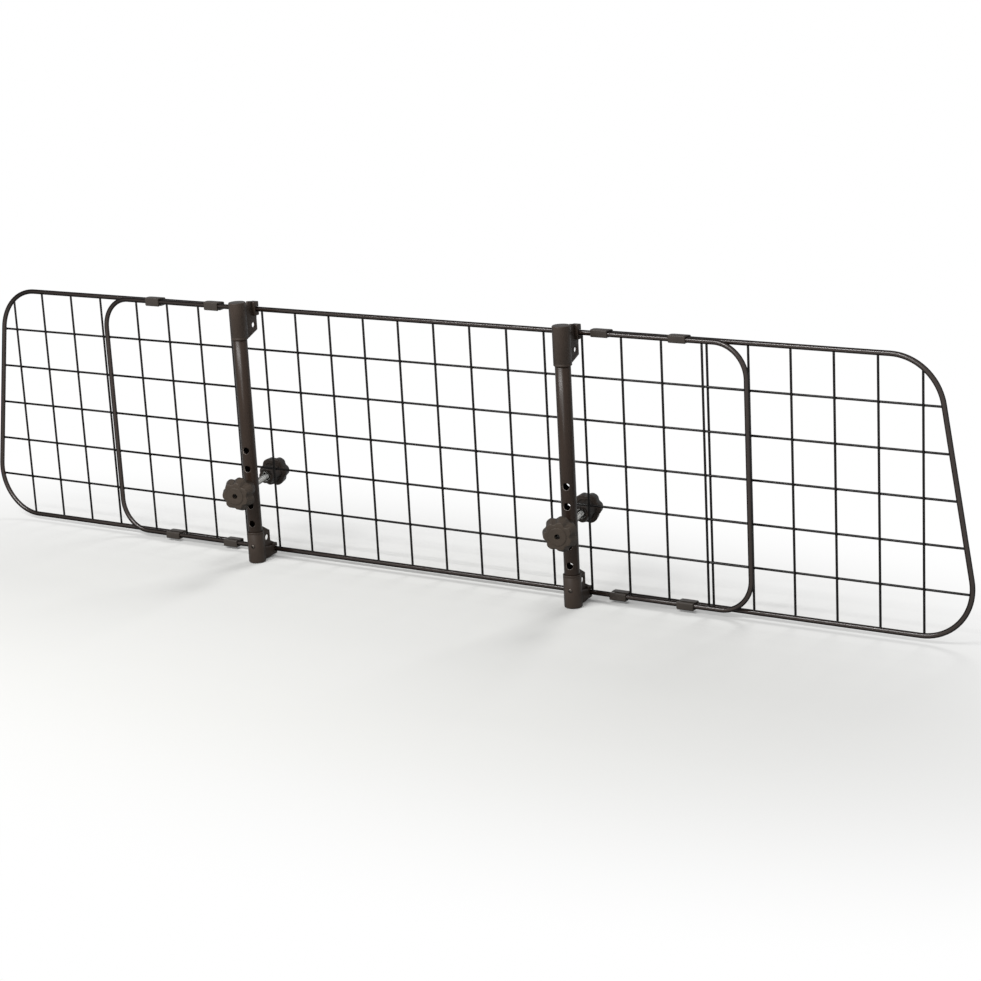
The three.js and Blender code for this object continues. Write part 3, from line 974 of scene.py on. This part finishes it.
@dataclass
class Wing:
    """A wing: a bent rod open towards the middle, its mesh, and clips at the rod's ends."""

    side: Side
    columns: int
    overhang: float
    clip_top: float
    clip_bottom: float
    top_reach: float = CLIP_REACH
    top_corner: float = 60.0
    bottom_corner: float = 58.0
    beyond_top: float = 14.5
    beyond_bottom: float = 64.0
    rod_in_clip: float = 8.75

    def build(self) -> None:
        """Builds the rod, the wires and the two clips."""
        word, out = self.side.word, self.side.value
        body = f"{word}_wing"
        first = PANEL_MIDDLE + out * (LAST_CENTRE_WIRE + self.overhang)
        last = (self.columns - 1) * PITCH
        corners = [
            (-self.clip_bottom - self.rod_in_clip, BOTTOM_Z, 0.0),
            (last + self.beyond_bottom, BOTTOM_Z, self.bottom_corner),
            (last + self.beyond_top, TOP_Z, self.top_corner),
            (-self.clip_top - self.rod_in_clip, TOP_Z, 0.0),
        ]
        outline = rounded_outline(corners, False) * [out, 1] + [first, 0]
        rod = Shape()
        rod.grid(swept_rod(outline, ROD_RADIUS, WING_Y, False))
        rod.piece(f"{word}_wing_frame_rod", ROD_COAT, body, f"{word}_wing_frame")
        mesh = Shape()
        uprights = first + out * PITCH * np.arange(self.columns)
        grid = WireGrid()
        rows = ROW_HEIGHTS - WING_ROW_DROP
        grid.add(mesh, outline, uprights, rows, WING_Y, first - out * grid.overhang)
        mesh.piece(f"{word}_wing_mesh_wires", SHADED_WIRE_COAT, body, f"{word}_wing_mesh")
        distances = {Level.TOP: self.clip_top, Level.BOTTOM: self.clip_bottom}
        for level, distance in distances.items():
            node = f"{word}_inner_clip_{level.word}"
            inward = self.top_reach if level is Level.TOP else CLIP_REACH
            SlidingClip().build(node, body, first - out * distance, level, inward)


# Posts


@dataclass
class PostTube:
    """A post's tube, with a row of holes through both walls in line with the bolt."""

    radius: float = 9.0
    wall: float = 1.3
    low: float = -93.5
    high: float = 225.9
    hole_radius: float = 4.3
    hole_pitch: float = 23.25
    holes: int = 5
    bolt_hole: int = 2
    patch_half_angle: float = math.radians(42)
    patch_half_height: float = 7.0
    patch_sides: int = 32
    patch_rings: int = 5
    ring_spread: float = 1.3

    def surface(self, shape: Shape, turn: float) -> None:
        """Adds the outer wall, which the Solidify modifier thickens inwards.

        Round each hole lies a patch, whose rings run from the hole's edge, where the turn about the
        axis is the arcsine of the sideways distance over the radius, to a rectangle on the wall.
        Plain strips fill the rest, with their points on those of the patches.

        Args:
            shape: What the wall is added to.
            turn: Turn of the holes' row about the tube's axis.
        """
        quarter = self.patch_sides // 4
        heights = (np.arange(self.holes) - self.bolt_hole) * self.hole_pitch
        angle = ring(self.patch_sides, np.pi / 4)
        along = np.linspace(1, -1, quarter, endpoint=False)
        full = np.ones(quarter)
        square_turn = np.concatenate([along, -full, -along, full])
        square_height = np.concatenate([full, along, -full, -along])
        square = np.stack([square_turn, square_height], axis=-1)
        outer = square * [self.patch_half_angle, self.patch_half_height]
        inner_turn = np.arcsin(self.hole_radius * np.cos(angle) / self.radius)
        inner = np.stack([inner_turn, self.hole_radius * np.sin(angle)], axis=-1)
        share = (np.linspace(0, 1, self.patch_rings) ** self.ring_spread)[:, None, None]
        patch = inner + (outer - inner) * share
        steps = np.linspace(-self.patch_half_height, self.patch_half_height, quarter + 1)
        levels = np.concatenate([[self.low], (heights[:, None] + steps).ravel(), [self.high]])
        patch_ends = (heights[:, None] + steps[[0, -1]]).ravel()
        between = np.concatenate([[self.low], patch_ends, [self.high]])
        columns = np.linspace(-self.patch_half_angle, self.patch_half_angle, quarter + 1)
        plain = np.linspace(self.patch_half_angle, np.pi - self.patch_half_angle, 11)
        for half_turn in (0.0, np.pi):
            for height in heights:
                shape.grid(self.wrapped(patch[..., 0] + half_turn, patch[..., 1] + height, turn))
            for low, high in between.reshape(-1, 2):
                grid = np.meshgrid(columns + half_turn, np.array([low, high]))
                shape.grid(self.wrapped(grid[0], grid[1], turn), wrap_columns=False)
            grid = np.meshgrid(plain + half_turn, levels)
            shape.grid(self.wrapped(grid[0], grid[1], turn), wrap_columns=False)

    def wrapped(self, angle: np.ndarray, height: np.ndarray, turn: float) -> np.ndarray:
        """Places on the wall, where an angle of zero faces the front along the bolt."""
        x = self.radius * np.sin(angle)
        y = -self.radius * np.cos(angle)
        return placed(np.stack([x, y, height], axis=-1), (0, 0, 0), turn)


@dataclass(frozen=True)
class EndFitting:
    """A moulded fitting: a cup over the tube's end, and an ear that hooks on the panel's rod.

    Depths are counted from the post's axis, and heights from the rod's axis towards the mesh. What
    reaches outward lies beyond the rod, away from the mesh.
    """

    level: Level
    cup_outward: float
    jaw_outward: float
    jaw_corner: float
    ear_depth: float
    hole_depth: float
    hole_height: float
    hole_radius: float
    cup_bore: float = 9.3
    cup_radius: float = 10.5
    cup_inward: float = 31.0
    cup_floor: float = 3.0
    cup_edge: float = 1.0
    groove_depth: float = 0.28
    groove_width: float = 0.4
    groove_slope: float = 0.3
    lip_height: float = 2.2
    lip_chamfer: float = 0.3
    ear_half: float = 1.5
    ear_top: float = 34.0
    ear_back: float = 25.5
    ear_root_depth: float = 13.0
    ear_overlap: float = 1.0
    ear_step: float = 1.4
    ear_sink: float = 1.2
    ear_corner: float = 0.5
    notch_start: float = 12.6
    notch_width: float = 7.0
    notch_depth: float = 7.5
    notch_near_run: float = 2.0
    notch_far_run: float = 9.0
    shoe_half: float = 4.6
    shoe_corner: float = 0.4
    shoe_heel: float = 11.0
    shoe_heel_radius: float = 7.0
    shoe_top: float = 8.0
    shoe_top_radius: float = 3.0
    sole_rise: float = 0.1
    toe_rise: float = 0.3
    toe_drop: float = 2.0
    top_drop: float = 0.5
    root_rise: float = 1.5
    ear_rounding: float = 0.5
    hole_rounding: float = 1.15
    hook_rounding: float = 0.7
    shoe_rounding: float = 1.2
    hook_end: float = 35.9
    hook_start: float = 27.0
    hook_half: float = 4.5
    hook_corner: float = 1.2
    jaw_inward: float = 7.6
    mouth_half: float = 2.7
    shoulder: float = 12.0

    def cup(self) -> np.ndarray:
        """The cup as a surface of revolution, with a thin lip at its open end and a groove under it."""
        end, chamfer = self.cup_inward, self.lip_chamfer
        r, b = self.cup_radius, self.cup_bore
        groove = end - self.lip_height - self.groove_slope
        angle = np.linspace(0, np.pi / 2, 5)
        round_in = self.cup_edge * (1 - np.sin(angle))
        round_up = self.cup_edge * (1 - np.cos(angle))
        profile = [
            (0.0, -self.cup_outward),
            (r * 0.5, -self.cup_outward),
            *zip(r - round_in, -self.cup_outward + round_up),
            (r, groove - self.groove_width - self.groove_slope),
            (r - self.groove_depth, groove - self.groove_width),
            (r - self.groove_depth, groove),
            (r, groove + self.groove_slope),
            (r, end - 0.35),
            (r - chamfer, end),
            (b + 0.2, end),
            (b, end - chamfer),
            (b, -self.cup_outward + self.cup_floor),
            (0.0, -self.cup_outward + self.cup_floor),
        ]
        return turned(profile, 48)

    def ear(self) -> list[np.ndarray]:
        """The ear's loop and its hole's, drawn in Y and Z with the mesh at the top."""
        root = (self.cup_bore + self.cup_radius) / 2
        outer = -self.cup_outward + self.cup_edge
        slope = (-self.jaw_outward - outer) / (self.hook_end - self.ear_overlap - root)
        into_hook = self.hook_start + self.ear_overlap
        jaw_end, over_jaw = self.hook_end - self.ear_step, self.jaw_inward - self.ear_sink
        notch = [
            (self.notch_start, outer + slope * self.notch_near_run),
            (self.notch_start + self.notch_width / 2, outer + self.notch_depth),
            (self.notch_start + self.notch_width, outer + slope * self.notch_far_run),
        ]
        corners = [
            (root, outer),
            *(notch if self.level is Level.TOP else []),
            (into_hook, outer + slope * (into_hook - root)),
            (into_hook, over_jaw),
            (jaw_end, over_jaw),
            (jaw_end, self.jaw_inward),
            (self.ear_depth, self.shoulder),
            (self.ear_depth, self.ear_back),
            (self.ear_root_depth, self.ear_top),
            (root, self.ear_top),
        ]
        angle = ring(32)[::-1]
        circle = np.stack([np.cos(angle), np.sin(angle)], axis=-1)
        hole = self.hole_radius * circle + [self.hole_depth, self.hole_height]
        return [softened(corners, self.ear_corner), hole]

    def shoe(self) -> np.ndarray:
        """The loop of the block that joins the foot's cup to its hook, rounded below."""
        root, end = self.cup_bore, self.hook_start + self.ear_overlap
        sole = -self.cup_outward + self.sole_rise
        corners = [
            (root, sole, self.shoe_corner),
            (root + self.shoe_heel, sole, self.shoe_heel_radius),
            (end, -self.jaw_outward + self.toe_rise, self.shoe_corner),
            (end, self.jaw_inward - self.toe_drop, self.shoe_corner),
            (root + self.shoe_top, self.jaw_inward - self.top_drop, self.shoe_top_radius),
            (root, self.jaw_inward + self.root_rise, self.shoe_corner),
        ]
        return rounded_outline(corners, True, 5)[:-1]

    def hook(self) -> np.ndarray:
        """The hook's loop: a block with a round seat for the rod and a mouth at the back."""
        bore = ROD_RADIUS + ROD_PLAY
        lip = math.asin(self.mouth_half / bore)
        angle = np.linspace(lip, 2 * np.pi - lip, 22)
        seat = np.stack([PANEL_Y - POST_Y + bore * np.cos(angle), bore * np.sin(angle)], axis=-1)
        corners = [
            (self.hook_end, -self.mouth_half, 0.0),
            (self.hook_end, -self.jaw_outward, self.jaw_corner),
            (self.hook_start, -self.jaw_outward, self.hook_corner),
            (self.hook_start, self.jaw_inward, self.hook_corner),
            (self.hook_end, self.jaw_inward, self.hook_corner),
            (self.hook_end, self.mouth_half, 0.0),
        ]
        block = rounded_outline(corners, False, 4)
        return np.concatenate([block, seat])[::-1]

    def build(self, node: str, body: str, x: float) -> None:
        """Builds the fitting.

        Args:
            node: The node that it stands for.
            body: The body that it rides on.
            x: X of the post's axis.
        """
        shape = Shape()
        shape.grid(self.cup())
        plates = [
            (self.ear(), self.ear_half, [self.ear_rounding, self.hole_rounding]),
            ([self.hook()], self.hook_half, [self.hook_rounding]),
        ]
        if self.level is Level.BOTTOM:
            plates.append(([self.shoe()], self.shoe_half, [self.shoe_rounding]))
        for loops, half, roundings in plates:
            plate(loops, -half, half, roundings, shape, (0.0, 0.0, 0.0))
        mirror = [1, 1, -self.level.value]
        shape.points = [points * mirror + [x, POST_Y, self.level.height] for points in shape.points]
        shape.piece(f"{node}_body", FITTING_POLYAMIDE, body, node, sharp_degrees=45)


UPPER_FITTING = EndFitting(
    level=Level.TOP,
    cup_outward=14.2,
    jaw_outward=9.5,
    jaw_corner=1.2,
    ear_depth=34.0,
    hole_depth=27.4,
    hole_height=18.7,
    hole_radius=3.0,
)

LOWER_FITTING = EndFitting(
    level=Level.BOTTOM,
    cup_outward=7.8,
    jaw_outward=6.4,
    jaw_corner=3.4,
    ear_depth=26.5,
    hole_depth=20.9,
    hole_height=17.4,
    hole_radius=3.4,
)


@dataclass
class PostScrew:
    """The small cross-head screw that holds a tube in its lower fitting."""

    head_radius: float = 2.2
    head_height: float = 1.1
    shank_radius: float = 1.3
    length: float = 4.4
    seat: float = 10.8
    cross_half: float = 0.32
    cross_reach: float = 1.35
    cross_depth: float = 0.7
    rim_share: float = 0.35
    dome_rings: int = 16

    def build(self, node: str, body: str, x: float, height: float, turn: float) -> None:
        """Builds the screw as rings whose height is a dome's, less the cross's depth inside the cross.

        Args:
            node: The node that it stands for.
            body: The body that it rides on.
            x: X of the post's axis.
            height: Height of the screw.
            turn: The holes' turn about the post's axis.
        """
        share = np.linspace(0, 1, self.dome_rings)
        dome = self.head_height * (self.rim_share + (1 - self.rim_share) * np.sqrt(1 - share**2))
        shank = [self.head_radius, self.shank_radius, self.shank_radius, 0.0]
        radius = np.concatenate([share * self.head_radius, shank])
        rise = np.concatenate([dome, [0.0, 0.0, -self.length, -self.length]])
        angle = ring(64)
        across = radius[:, None] * np.cos(angle)
        upward = radius[:, None] * np.sin(angle)
        narrow = np.minimum(np.abs(across), np.abs(upward)) < self.cross_half
        inside = narrow & (np.hypot(across, upward) < self.cross_reach)
        inside[self.dome_rings :] = False
        depth = rise[:, None] - np.where(inside, self.cross_depth, 0.0)
        points = np.stack([across, -self.seat - depth, upward], axis=-1)
        shape = Shape()
        shape.grid(placed(points, (x, POST_Y, height), turn))
        shape.piece(f"{node}_head", DULL_ZINC, body, node, sharp_degrees=35)


@dataclass(frozen=True)
class StarKnob:
    """A star knob. Depth is counted from its face, and each row of its grid is a ring with lobes.

    Its head tapers towards the face, where a disc can stand out by a step, and its hub follows.
    """

    lobes: int
    radius: float
    taper: float
    head_length: float
    hub_length: float
    hub_radius: float
    hub_draft: float
    face_hole: float
    hole_depth: float
    disc: float
    face_step: float
    hub_flutes: float
    lobe_height: float
    edge: float = 1.5
    chamfer: float = 0.4
    bore: float = 4.3

    @property
    def length(self) -> float:
        """The head's length and the hub's."""
        return self.head_length + self.hub_length

    def rows(self) -> np.ndarray:
        """Radius, depth and share of the lobes for each ring, from inside the face's hole to the bore."""
        return np.array([*self.disc_rows(), *self.head_rows(), *self.hub_rows()])

    def disc_rows(self) -> list[tuple[float, float, float]]:
        """The hole in the face, the disc round it and the step down from its softened edge."""
        return [
            (self.face_hole, self.hole_depth, 0.0),
            (self.face_hole, 0.5, 0.0),
            (self.face_hole + self.chamfer, 0.05, 0.0),
            (self.disc - 1.2, 0.0, 0.0),
            (self.disc - 0.3, 0.02, 0.0),
            (self.disc, 0.2, 0.0),
            (self.disc + 0.25, self.face_step, 0.0),
            (self.disc + 0.9, self.face_step, 0.3),
        ]

    def head_rows(self) -> list[tuple[float, float, float]]:
        """The lobed head: a rounded edge, a flank that widens by the taper, and a rounded edge."""
        face, back = self.radius - self.taper, self.radius
        angle = np.linspace(0, np.pi / 2, 5)
        sine_gap = self.edge * (1 - np.sin(angle))
        cosine_gap = self.edge * (1 - np.cos(angle))
        start = self.face_step + self.edge
        flank = self.head_length - self.edge - start
        return [
            *[(face - inset, self.face_step + fall, 1.0) for inset, fall in zip(sine_gap, cosine_gap)],
            *[(face + self.taper * share, start + flank * share, 1.0) for share in (0.33, 0.66)],
            *[(back - inset, self.head_length - fall, 1.0) for inset, fall in zip(cosine_gap, sine_gap)],
        ]

    def hub_rows(self) -> list[tuple[float, float, float]]:
        """The hub: a fillet at its foot, a wall that narrows by the draft, its end and its bore."""
        foot, tip = self.hub_radius, self.hub_radius - self.hub_draft
        head, end, flutes = self.head_length, self.length, self.hub_flutes
        return [
            (foot + 1.4, head + 0.05, max(0.3, flutes)),
            (foot + 0.5, head + 0.3, flutes),
            (foot, head + 1.1, flutes),
            ((foot + tip) / 2, (head + end) / 2, flutes * 0.8),
            (tip, end - 0.7, flutes * 0.5),
            (tip - 0.2, end - 0.2, flutes * 0.4),
            (tip - 0.8, end, 0.0),
            (self.bore + self.chamfer, end, 0.0),
            (self.bore, end - self.chamfer, 0.0),
            (self.bore, self.hole_depth + 1.0, 0.0),
        ]

    def surface(self, columns_per_lobe: int = 16) -> np.ndarray:
        """The knob about its own axis, with its face at Y = 0 and its hub behind it.

        The radius at an angle is the ring's less the lobes' height times the square of a swing,
        which is half of one minus the cosine of the angle times the number of lobes.

        Args:
            columns_per_lobe: Points along each lobe.

        Returns:
            A grid of points.
        """
        radius, depth, share = self.rows().T
        angle = ring(self.lobes * columns_per_lobe)
        swing = (1 - np.cos(self.lobes * angle)) / 2
        reached = radius[:, None] - share[:, None] * self.lobe_height * swing**2
        return about_y(-reached * np.cos(angle), depth, reached * np.sin(angle))


FRONT_KNOB = StarKnob(
    lobes=7,
    radius=21.0,
    taper=4.0,
    head_length=14.2,
    hub_length=27.2,
    hub_radius=10.0,
    hub_draft=0.6,
    face_hole=3.0,
    hole_depth=8.0,
    disc=10.4,
    face_step=0.8,
    hub_flutes=0.0,
    lobe_height=2.7,
)

REAR_KNOB = StarKnob(
    lobes=6,
    radius=18.0,
    taper=1.0,
    head_length=15.0,
    hub_length=20.82,
    hub_radius=12.5,
    hub_draft=3.0,
    face_hole=4.3,
    hole_depth=30.0,
    disc=9.35,
    face_step=0.0,
    hub_flutes=0.6,
    lobe_height=2.2,
)


@dataclass
class Clamp:
    """A bolt through the post with a star knob at each end, and a nut in the rear knob."""

    side: Side
    post_x: float
    turn: float
    hub_gap: float = 9.3
    hub_to_post: float = 44.0
    head_gap: float = 0.3
    head_height: float = 5.3
    head_flat: float = 6.5
    corner_share: float = 1.11
    face_share: float = 0.96
    chamfer: float = 0.7
    bolt_radius: float = 4.0
    bolt_length: float = 110.0
    bolt_into_head: float = 0.5
    bolt_chamfer: float = 0.2
    thread_pitch: float = 1.25
    thread_depth: float = 0.5
    thread_fade_turns: float = 2.0
    nut_height: float = 6.5
    nut_play: float = 0.2
    nut_bore_rise: float = 0.4
    nut_bore_flare: float = 0.5

    def hexagon(self, rows: Sequence[tuple[float, float, float]], columns: int = 48) -> np.ndarray:
        """A six-sided body about Y.

        A flat's distance divided by the cosine of the angle from its middle is the radius there, and
        a second value caps it, which chamfers the corners.

        Args:
            rows: Distance of the flats, cap of the radius, and place along Y of each ring.
            columns: Points round a ring.

        Returns:
            A grid of points.
        """
        flat, cap, along = np.asarray(rows, float).T
        angle = ring(columns, np.pi / 2)
        from_middle = np.mod(angle, np.pi / 3) - np.pi / 6
        radius = np.minimum(flat[:, None] / np.cos(from_middle), cap[:, None])
        return about_y(radius * np.cos(angle), along, radius * np.sin(angle))

    def thread(self, start: float, end: float, columns: int = 20, rows_per_turn: int = 8) -> np.ndarray:
        """The bolt's thread.

        The radius falls below the crest by the thread's depth times a wave that depends on the place
        along the bolt in pitches less the angle in turns. The wave fades out at the end.

        Args:
            start: Where the thread starts along Y.
            end: Where it ends.
            columns: Points round the bolt.
            rows_per_turn: Rings in each pitch.

        Returns:
            A grid of points.
        """
        count = round((end - start) / self.thread_pitch * rows_per_turn) + 1
        along = np.linspace(start, end, count)
        angle = ring(columns)
        phase = np.mod(along[:, None] / self.thread_pitch - angle / (2 * np.pi), 1.0)
        wave = np.clip(1.25 - np.abs(phase - 0.5) * 3, 0, 1)
        fade = np.clip((end - along) / (self.thread_fade_turns * self.thread_pitch), 0, 1)[:, None]
        radius = self.bolt_radius - self.thread_depth * (wave * fade + (1 - fade))
        radius[0] = radius[-1] = 0.0
        return about_y(radius * np.cos(angle), along, radius * np.sin(angle))

    def add(self, shape: Shape, points: np.ndarray, wrap_rows: bool = False) -> None:
        """Adds a grid that is drawn about the bolt, at the post and with the bolt's turn."""
        shape.grid(placed(points, (self.post_x, POST_Y, 0.0), self.turn), wrap_rows=wrap_rows)

    def knobs(self, face: float) -> None:
        """Builds both knobs, with the front one's face at a place along the bolt."""
        word = self.side.word
        name = f"{word}_front_knob"
        shape = Shape()
        self.add(shape, FRONT_KNOB.surface() + [0, face, 0], wrap_rows=True)
        shape.piece(f"{name}_moulding", KNOB_POLYPROPYLENE, f"{word}_screw", name, 38)
        name = f"{word}_rear_knob"
        shape = Shape()
        end = self.hub_to_post + REAR_KNOB.length
        self.add(shape, REAR_KNOB.surface() * [1, -1, -1] + [0, end, 0], wrap_rows=True)
        # The rear knob takes the darker copy of the knob resin, a painted shade
        shape.piece(f"{name}_moulding", REAR_KNOB_SHADED_POLYPROPYLENE, f"{word}_nut", name, 38)

    def build(self) -> None:
        """Builds both knobs, the bolt and the nut."""
        word = self.side.word
        face = -self.hub_gap - FRONT_KNOB.length
        self.knobs(face)
        head = face + FRONT_KNOB.hole_depth + self.head_gap
        seat = head + self.head_height
        flat, corner = self.head_flat, self.head_flat * self.corner_share
        inner = flat * self.face_share
        rows = [
            (0, 0, head),
            (flat, inner, head),
            (flat, corner, head + self.chamfer),
            (flat, corner, seat),
            (0, 0, seat),
        ]
        shape = Shape()
        self.add(shape, self.hexagon(rows))
        tip = seat + self.bolt_length - self.bolt_chamfer
        self.add(shape, self.thread(seat - self.bolt_into_head, tip))
        shape.piece(f"{word}_clamp_bolt_thread", BRIGHT_ZINC, f"{word}_screw", f"{word}_clamp_bolt", 50)
        low, high = self.hub_to_post, self.hub_to_post + self.nut_height
        bore = self.bolt_radius + self.nut_play
        rows = [
            (bore, bore, low + self.nut_bore_rise),
            (bore + self.nut_bore_flare, bore + self.nut_bore_flare, low),
            (flat, inner, low),
            (flat, corner, low + self.chamfer),
            (flat, corner, high - self.chamfer),
            (flat, inner, high),
            (bore, bore, high),
        ]
        shape = Shape()
        self.add(shape, self.hexagon(rows), wrap_rows=True)
        shape.piece(f"{word}_clamp_nut_hex", BRIGHT_ZINC, f"{word}_nut", f"{word}_clamp_nut", 35)


@dataclass
class Post:
    """A post: its tube, its two fittings, its screw and its clamp."""

    side: Side
    spacing: float = 454.5
    turn: float = math.radians(14)
    screw_height: float = 14.0

    def build(self) -> None:
        """Builds all the pieces of the post."""
        word = self.side.word
        body = f"{word}_post"
        x = self.side.value * self.spacing / 2
        tube = PostTube()
        shape = Shape()
        tube.surface(shape, self.turn)
        shape.points = [points + [x, POST_Y, 0] for points in shape.points]
        wall = shape.piece(f"{word}_post_tube_wall", TUBE_COAT, body, f"{word}_post_tube", 30)
        thickness = wall.modifiers.new("tube_wall", "SOLIDIFY")
        thickness.thickness = tube.wall * MM
        thickness.offset = -1
        # The rim faces, round the holes and at the tube's ends, take the pale edge finish, partly a
        # painted highlight
        thickness.material_offset_rim = 1
        wall.data.materials.append(PUNCHED_EDGE_AND_HIGHLIGHT.material())
        LOWER_FITTING.build(f"{word}_lower_fitting", body, x)
        UPPER_FITTING.build(f"{word}_upper_fitting", body, x)
        PostScrew().build(f"{word}_post_screw", body, x, BOTTOM_Z + self.screw_height, self.turn)
        Clamp(self.side, x, self.turn).build()


# Studio


@dataclass(frozen=True)
class Lamp:
    """A soft box that points at a place, in metres and watts."""

    name: str
    place: tuple[float, float, float]
    target: tuple[float, float, float]
    width: float
    height: float
    power: float
    reflected: bool = True

    def build(self) -> None:
        """Adds the lamp."""
        light = bpy.data.lights.new(self.name, "AREA")
        light.shape = "RECTANGLE"
        light.size = self.width
        light.size_y = self.height
        light.energy = self.power
        made = bpy.data.objects.new(self.name, light)
        made.location = self.place
        direction = Vector(self.target) - Vector(self.place)
        made.rotation_mode = "QUATERNION"
        made.rotation_quaternion = direction.to_track_quat("-Z", "Y")
        made.visible_camera = False
        made.visible_glossy = self.reflected
        bpy.context.scene.collection.objects.link(made)


@dataclass
class Studio:
    """A pale floor, soft light and a camera where the photograph was taken from, in metres."""

    floor_height: float = -0.0973
    floor_size: float = 14.0
    floor_rows: int = 9
    # The fade's oval sits in front of the guard and bounds the grey zone of painted shadow
    fade_stretch: tuple[float, float, float] = (1.0, 2.2, 0.0)
    fade_shift: tuple[float, float, float] = (0.0, 0.5, 0.0)
    fade_start: float = 0.4
    fade_end: float = 1.35
    world_light: float = 0.3
    yaw: float = math.radians(33.14)
    pitch: float = math.radians(15.15)
    roll: float = math.radians(-3.08)
    focal_pixels: float = 2378.4
    eye: tuple[float, float, float] = (1.56512, -2.22420, 0.74369)

    def seen(self, tree: bpy.types.NodeTree) -> bpy.types.NodeSocket:
        """One where a ray comes from the camera, a reflection or through glass, and zero elsewhere."""
        rays = add_node(tree, "ShaderNodeLightPath").outputs
        either = add_node(
            tree,
            "ShaderNodeMath",
            {0: rays["Is Camera Ray"], 1: rays["Is Glossy Ray"]},
            operation="MAXIMUM",
        )
        any_of_three = add_node(
            tree,
            "ShaderNodeMath",
            {0: either.outputs[0], 1: rays["Is Transmission Ray"]},
            operation="MAXIMUM",
        )
        return any_of_three.outputs[0]

    def world(self) -> None:
        """White where it is seen, and a soft even light elsewhere."""
        world = bpy.data.worlds.new("studio_world")
        bpy.context.scene.world = world
        world.use_nodes = True
        tree = world.node_tree
        tree.nodes.clear()
        strength = add_node(
            tree,
            "ShaderNodeMapRange",
            {"Value": self.seen(tree), "To Min": self.world_light, "To Max": 1.0},
        )
        white = {"Color": linear("#ffffff"), "Strength": strength.outputs[0]}
        sky = add_node(tree, "ShaderNodeBackground", white)
        add_node(tree, "ShaderNodeOutputWorld", {"Surface": sky.outputs[0]})

    def floor(self) -> None:
        """A pale floor that shows the object's shadow, greyer near and in front of the guard as a painted
        shadow, and fades into the white around it.
        """
        half = self.floor_size / 2
        steps = np.linspace(-half, half, self.floor_rows)
        x, y = np.meshgrid(steps, steps)
        points = np.stack([x, y, np.full(x.shape, self.floor_height)], axis=-1)
        numbers = np.arange(x.size).reshape(x.shape)
        corners = [numbers[:-1, :-1], numbers[:-1, 1:], numbers[1:, 1:], numbers[1:, :-1]]
        faces = np.stack(corners, axis=-1)
        mesh = bpy.data.meshes.new("studio_floor")
        mesh.from_pydata(points.reshape(-1, 3).tolist(), [], faces.reshape(-1, 4).tolist())
        material = bpy.data.materials.new("pale_studio_floor")
        material.use_nodes = True
        tree = material.node_tree
        tree.nodes.clear()
        # Painted shadow: this grey, darker than the white around it, covers the floor near and in front of
        # the guard, where the lamps' real shadow also falls
        matt = add_node(tree, "ShaderNodeBsdfDiffuse", {"Color": linear("#c6c6c4")})
        glow = add_node(tree, "ShaderNodeEmission", {"Color": linear("#ffffff"), "Strength": 1.0})
        place = add_node(tree, "ShaderNodeTexCoord").outputs["Object"]
        beside = add_node(
            tree,
            "ShaderNodeVectorMath",
            {0: place, 1: self.fade_stretch, 2: self.fade_shift},
            operation="MULTIPLY_ADD",
        ).outputs[0]
        distance = add_node(tree, "ShaderNodeVectorMath", {0: beside}, operation="LENGTH").outputs["Value"]
        fade = add_node(
            tree,
            "ShaderNodeMapRange",
            {"Value": distance, "From Min": self.fade_start, "From Max": self.fade_end},
            interpolation_type="SMOOTHSTEP",
        )
        share = add_node(
            tree,
            "ShaderNodeMath",
            {0: self.seen(tree), 1: fade.outputs[0]},
            operation="MULTIPLY",
        )
        parts = {0: share.outputs[0], 1: matt.outputs[0], 2: glow.outputs[0]}
        mixed = add_node(tree, "ShaderNodeMixShader", parts)
        add_node(tree, "ShaderNodeOutputMaterial", {"Surface": mixed.outputs[0]})
        mesh.materials.append(material)
        made = bpy.data.objects.new("studio_floor", mesh)
        bpy.context.scene.collection.objects.link(made)

    def camera(self) -> None:
        """A camera with the photograph's place, direction and field of view."""
        level = Vector((math.cos(self.yaw), math.sin(self.yaw), 0.0))
        ahead = Vector((-math.sin(self.yaw), math.cos(self.yaw), 0.0))
        forward = ahead * math.cos(self.pitch) - Vector((0.0, 0.0, math.sin(self.pitch)))
        upright = level.cross(forward)
        right = level * math.cos(self.roll) + upright * math.sin(self.roll)
        up = upright * math.cos(self.roll) - level * math.sin(self.roll)
        data = bpy.data.cameras.new("photo_camera")
        data.sensor_width = SENSOR_WIDTH
        data.lens = self.focal_pixels * SENSOR_WIDTH / PHOTO_PIXELS
        data.clip_start, data.clip_end = 0.05, 60.0
        made = bpy.data.objects.new("photo_camera", data)
        turn = Matrix((right, up, -forward)).transposed()
        made.matrix_world = Matrix.Translation(Vector(self.eye)) @ turn.to_4x4()
        bpy.context.scene.collection.objects.link(made)
        bpy.context.scene.camera = made

    def build(self) -> None:
        """Builds the studio and sets how colours are shown."""
        self.camera()
        self.world()
        self.floor()
        middle = (0.0, 0.0, 0.06)
        Lamp("key_soft_box", (0.3, -2.8, 1.5), middle, 1.0, 1.0, 18.0).build()
        Lamp("strip_box", (-0.5, -1.6, 1.7), (-0.5, 0.0, 0.06), 1.9, 0.3, 62.0).build()
        Lamp("shadow_box", (0.2, 1.8, 2.2), middle, 1.0, 1.0, 40.0, False).build()
        bpy.context.scene.view_settings.view_transform = "Standard"


def main() -> None:
    """Builds the guard from its centre outwards, then the studio."""
    logging.basicConfig(level=logging.INFO, format="%(name)s %(message)s")
    CentrePanel().build()
    left = Wing(
        Side.LEFT,
        columns=4,
        overhang=65.6,
        clip_top=188.6,
        clip_bottom=188.6,
        top_reach=DEEP_CLIP_REACH,
    )
    right = Wing(Side.RIGHT, columns=6, overhang=2.6, clip_top=129.1, clip_bottom=118.1)
    left.build()
    right.build()
    for side in Side:
        Post(side).build()
    Studio().build()


if __name__ == "__main__":
    main()
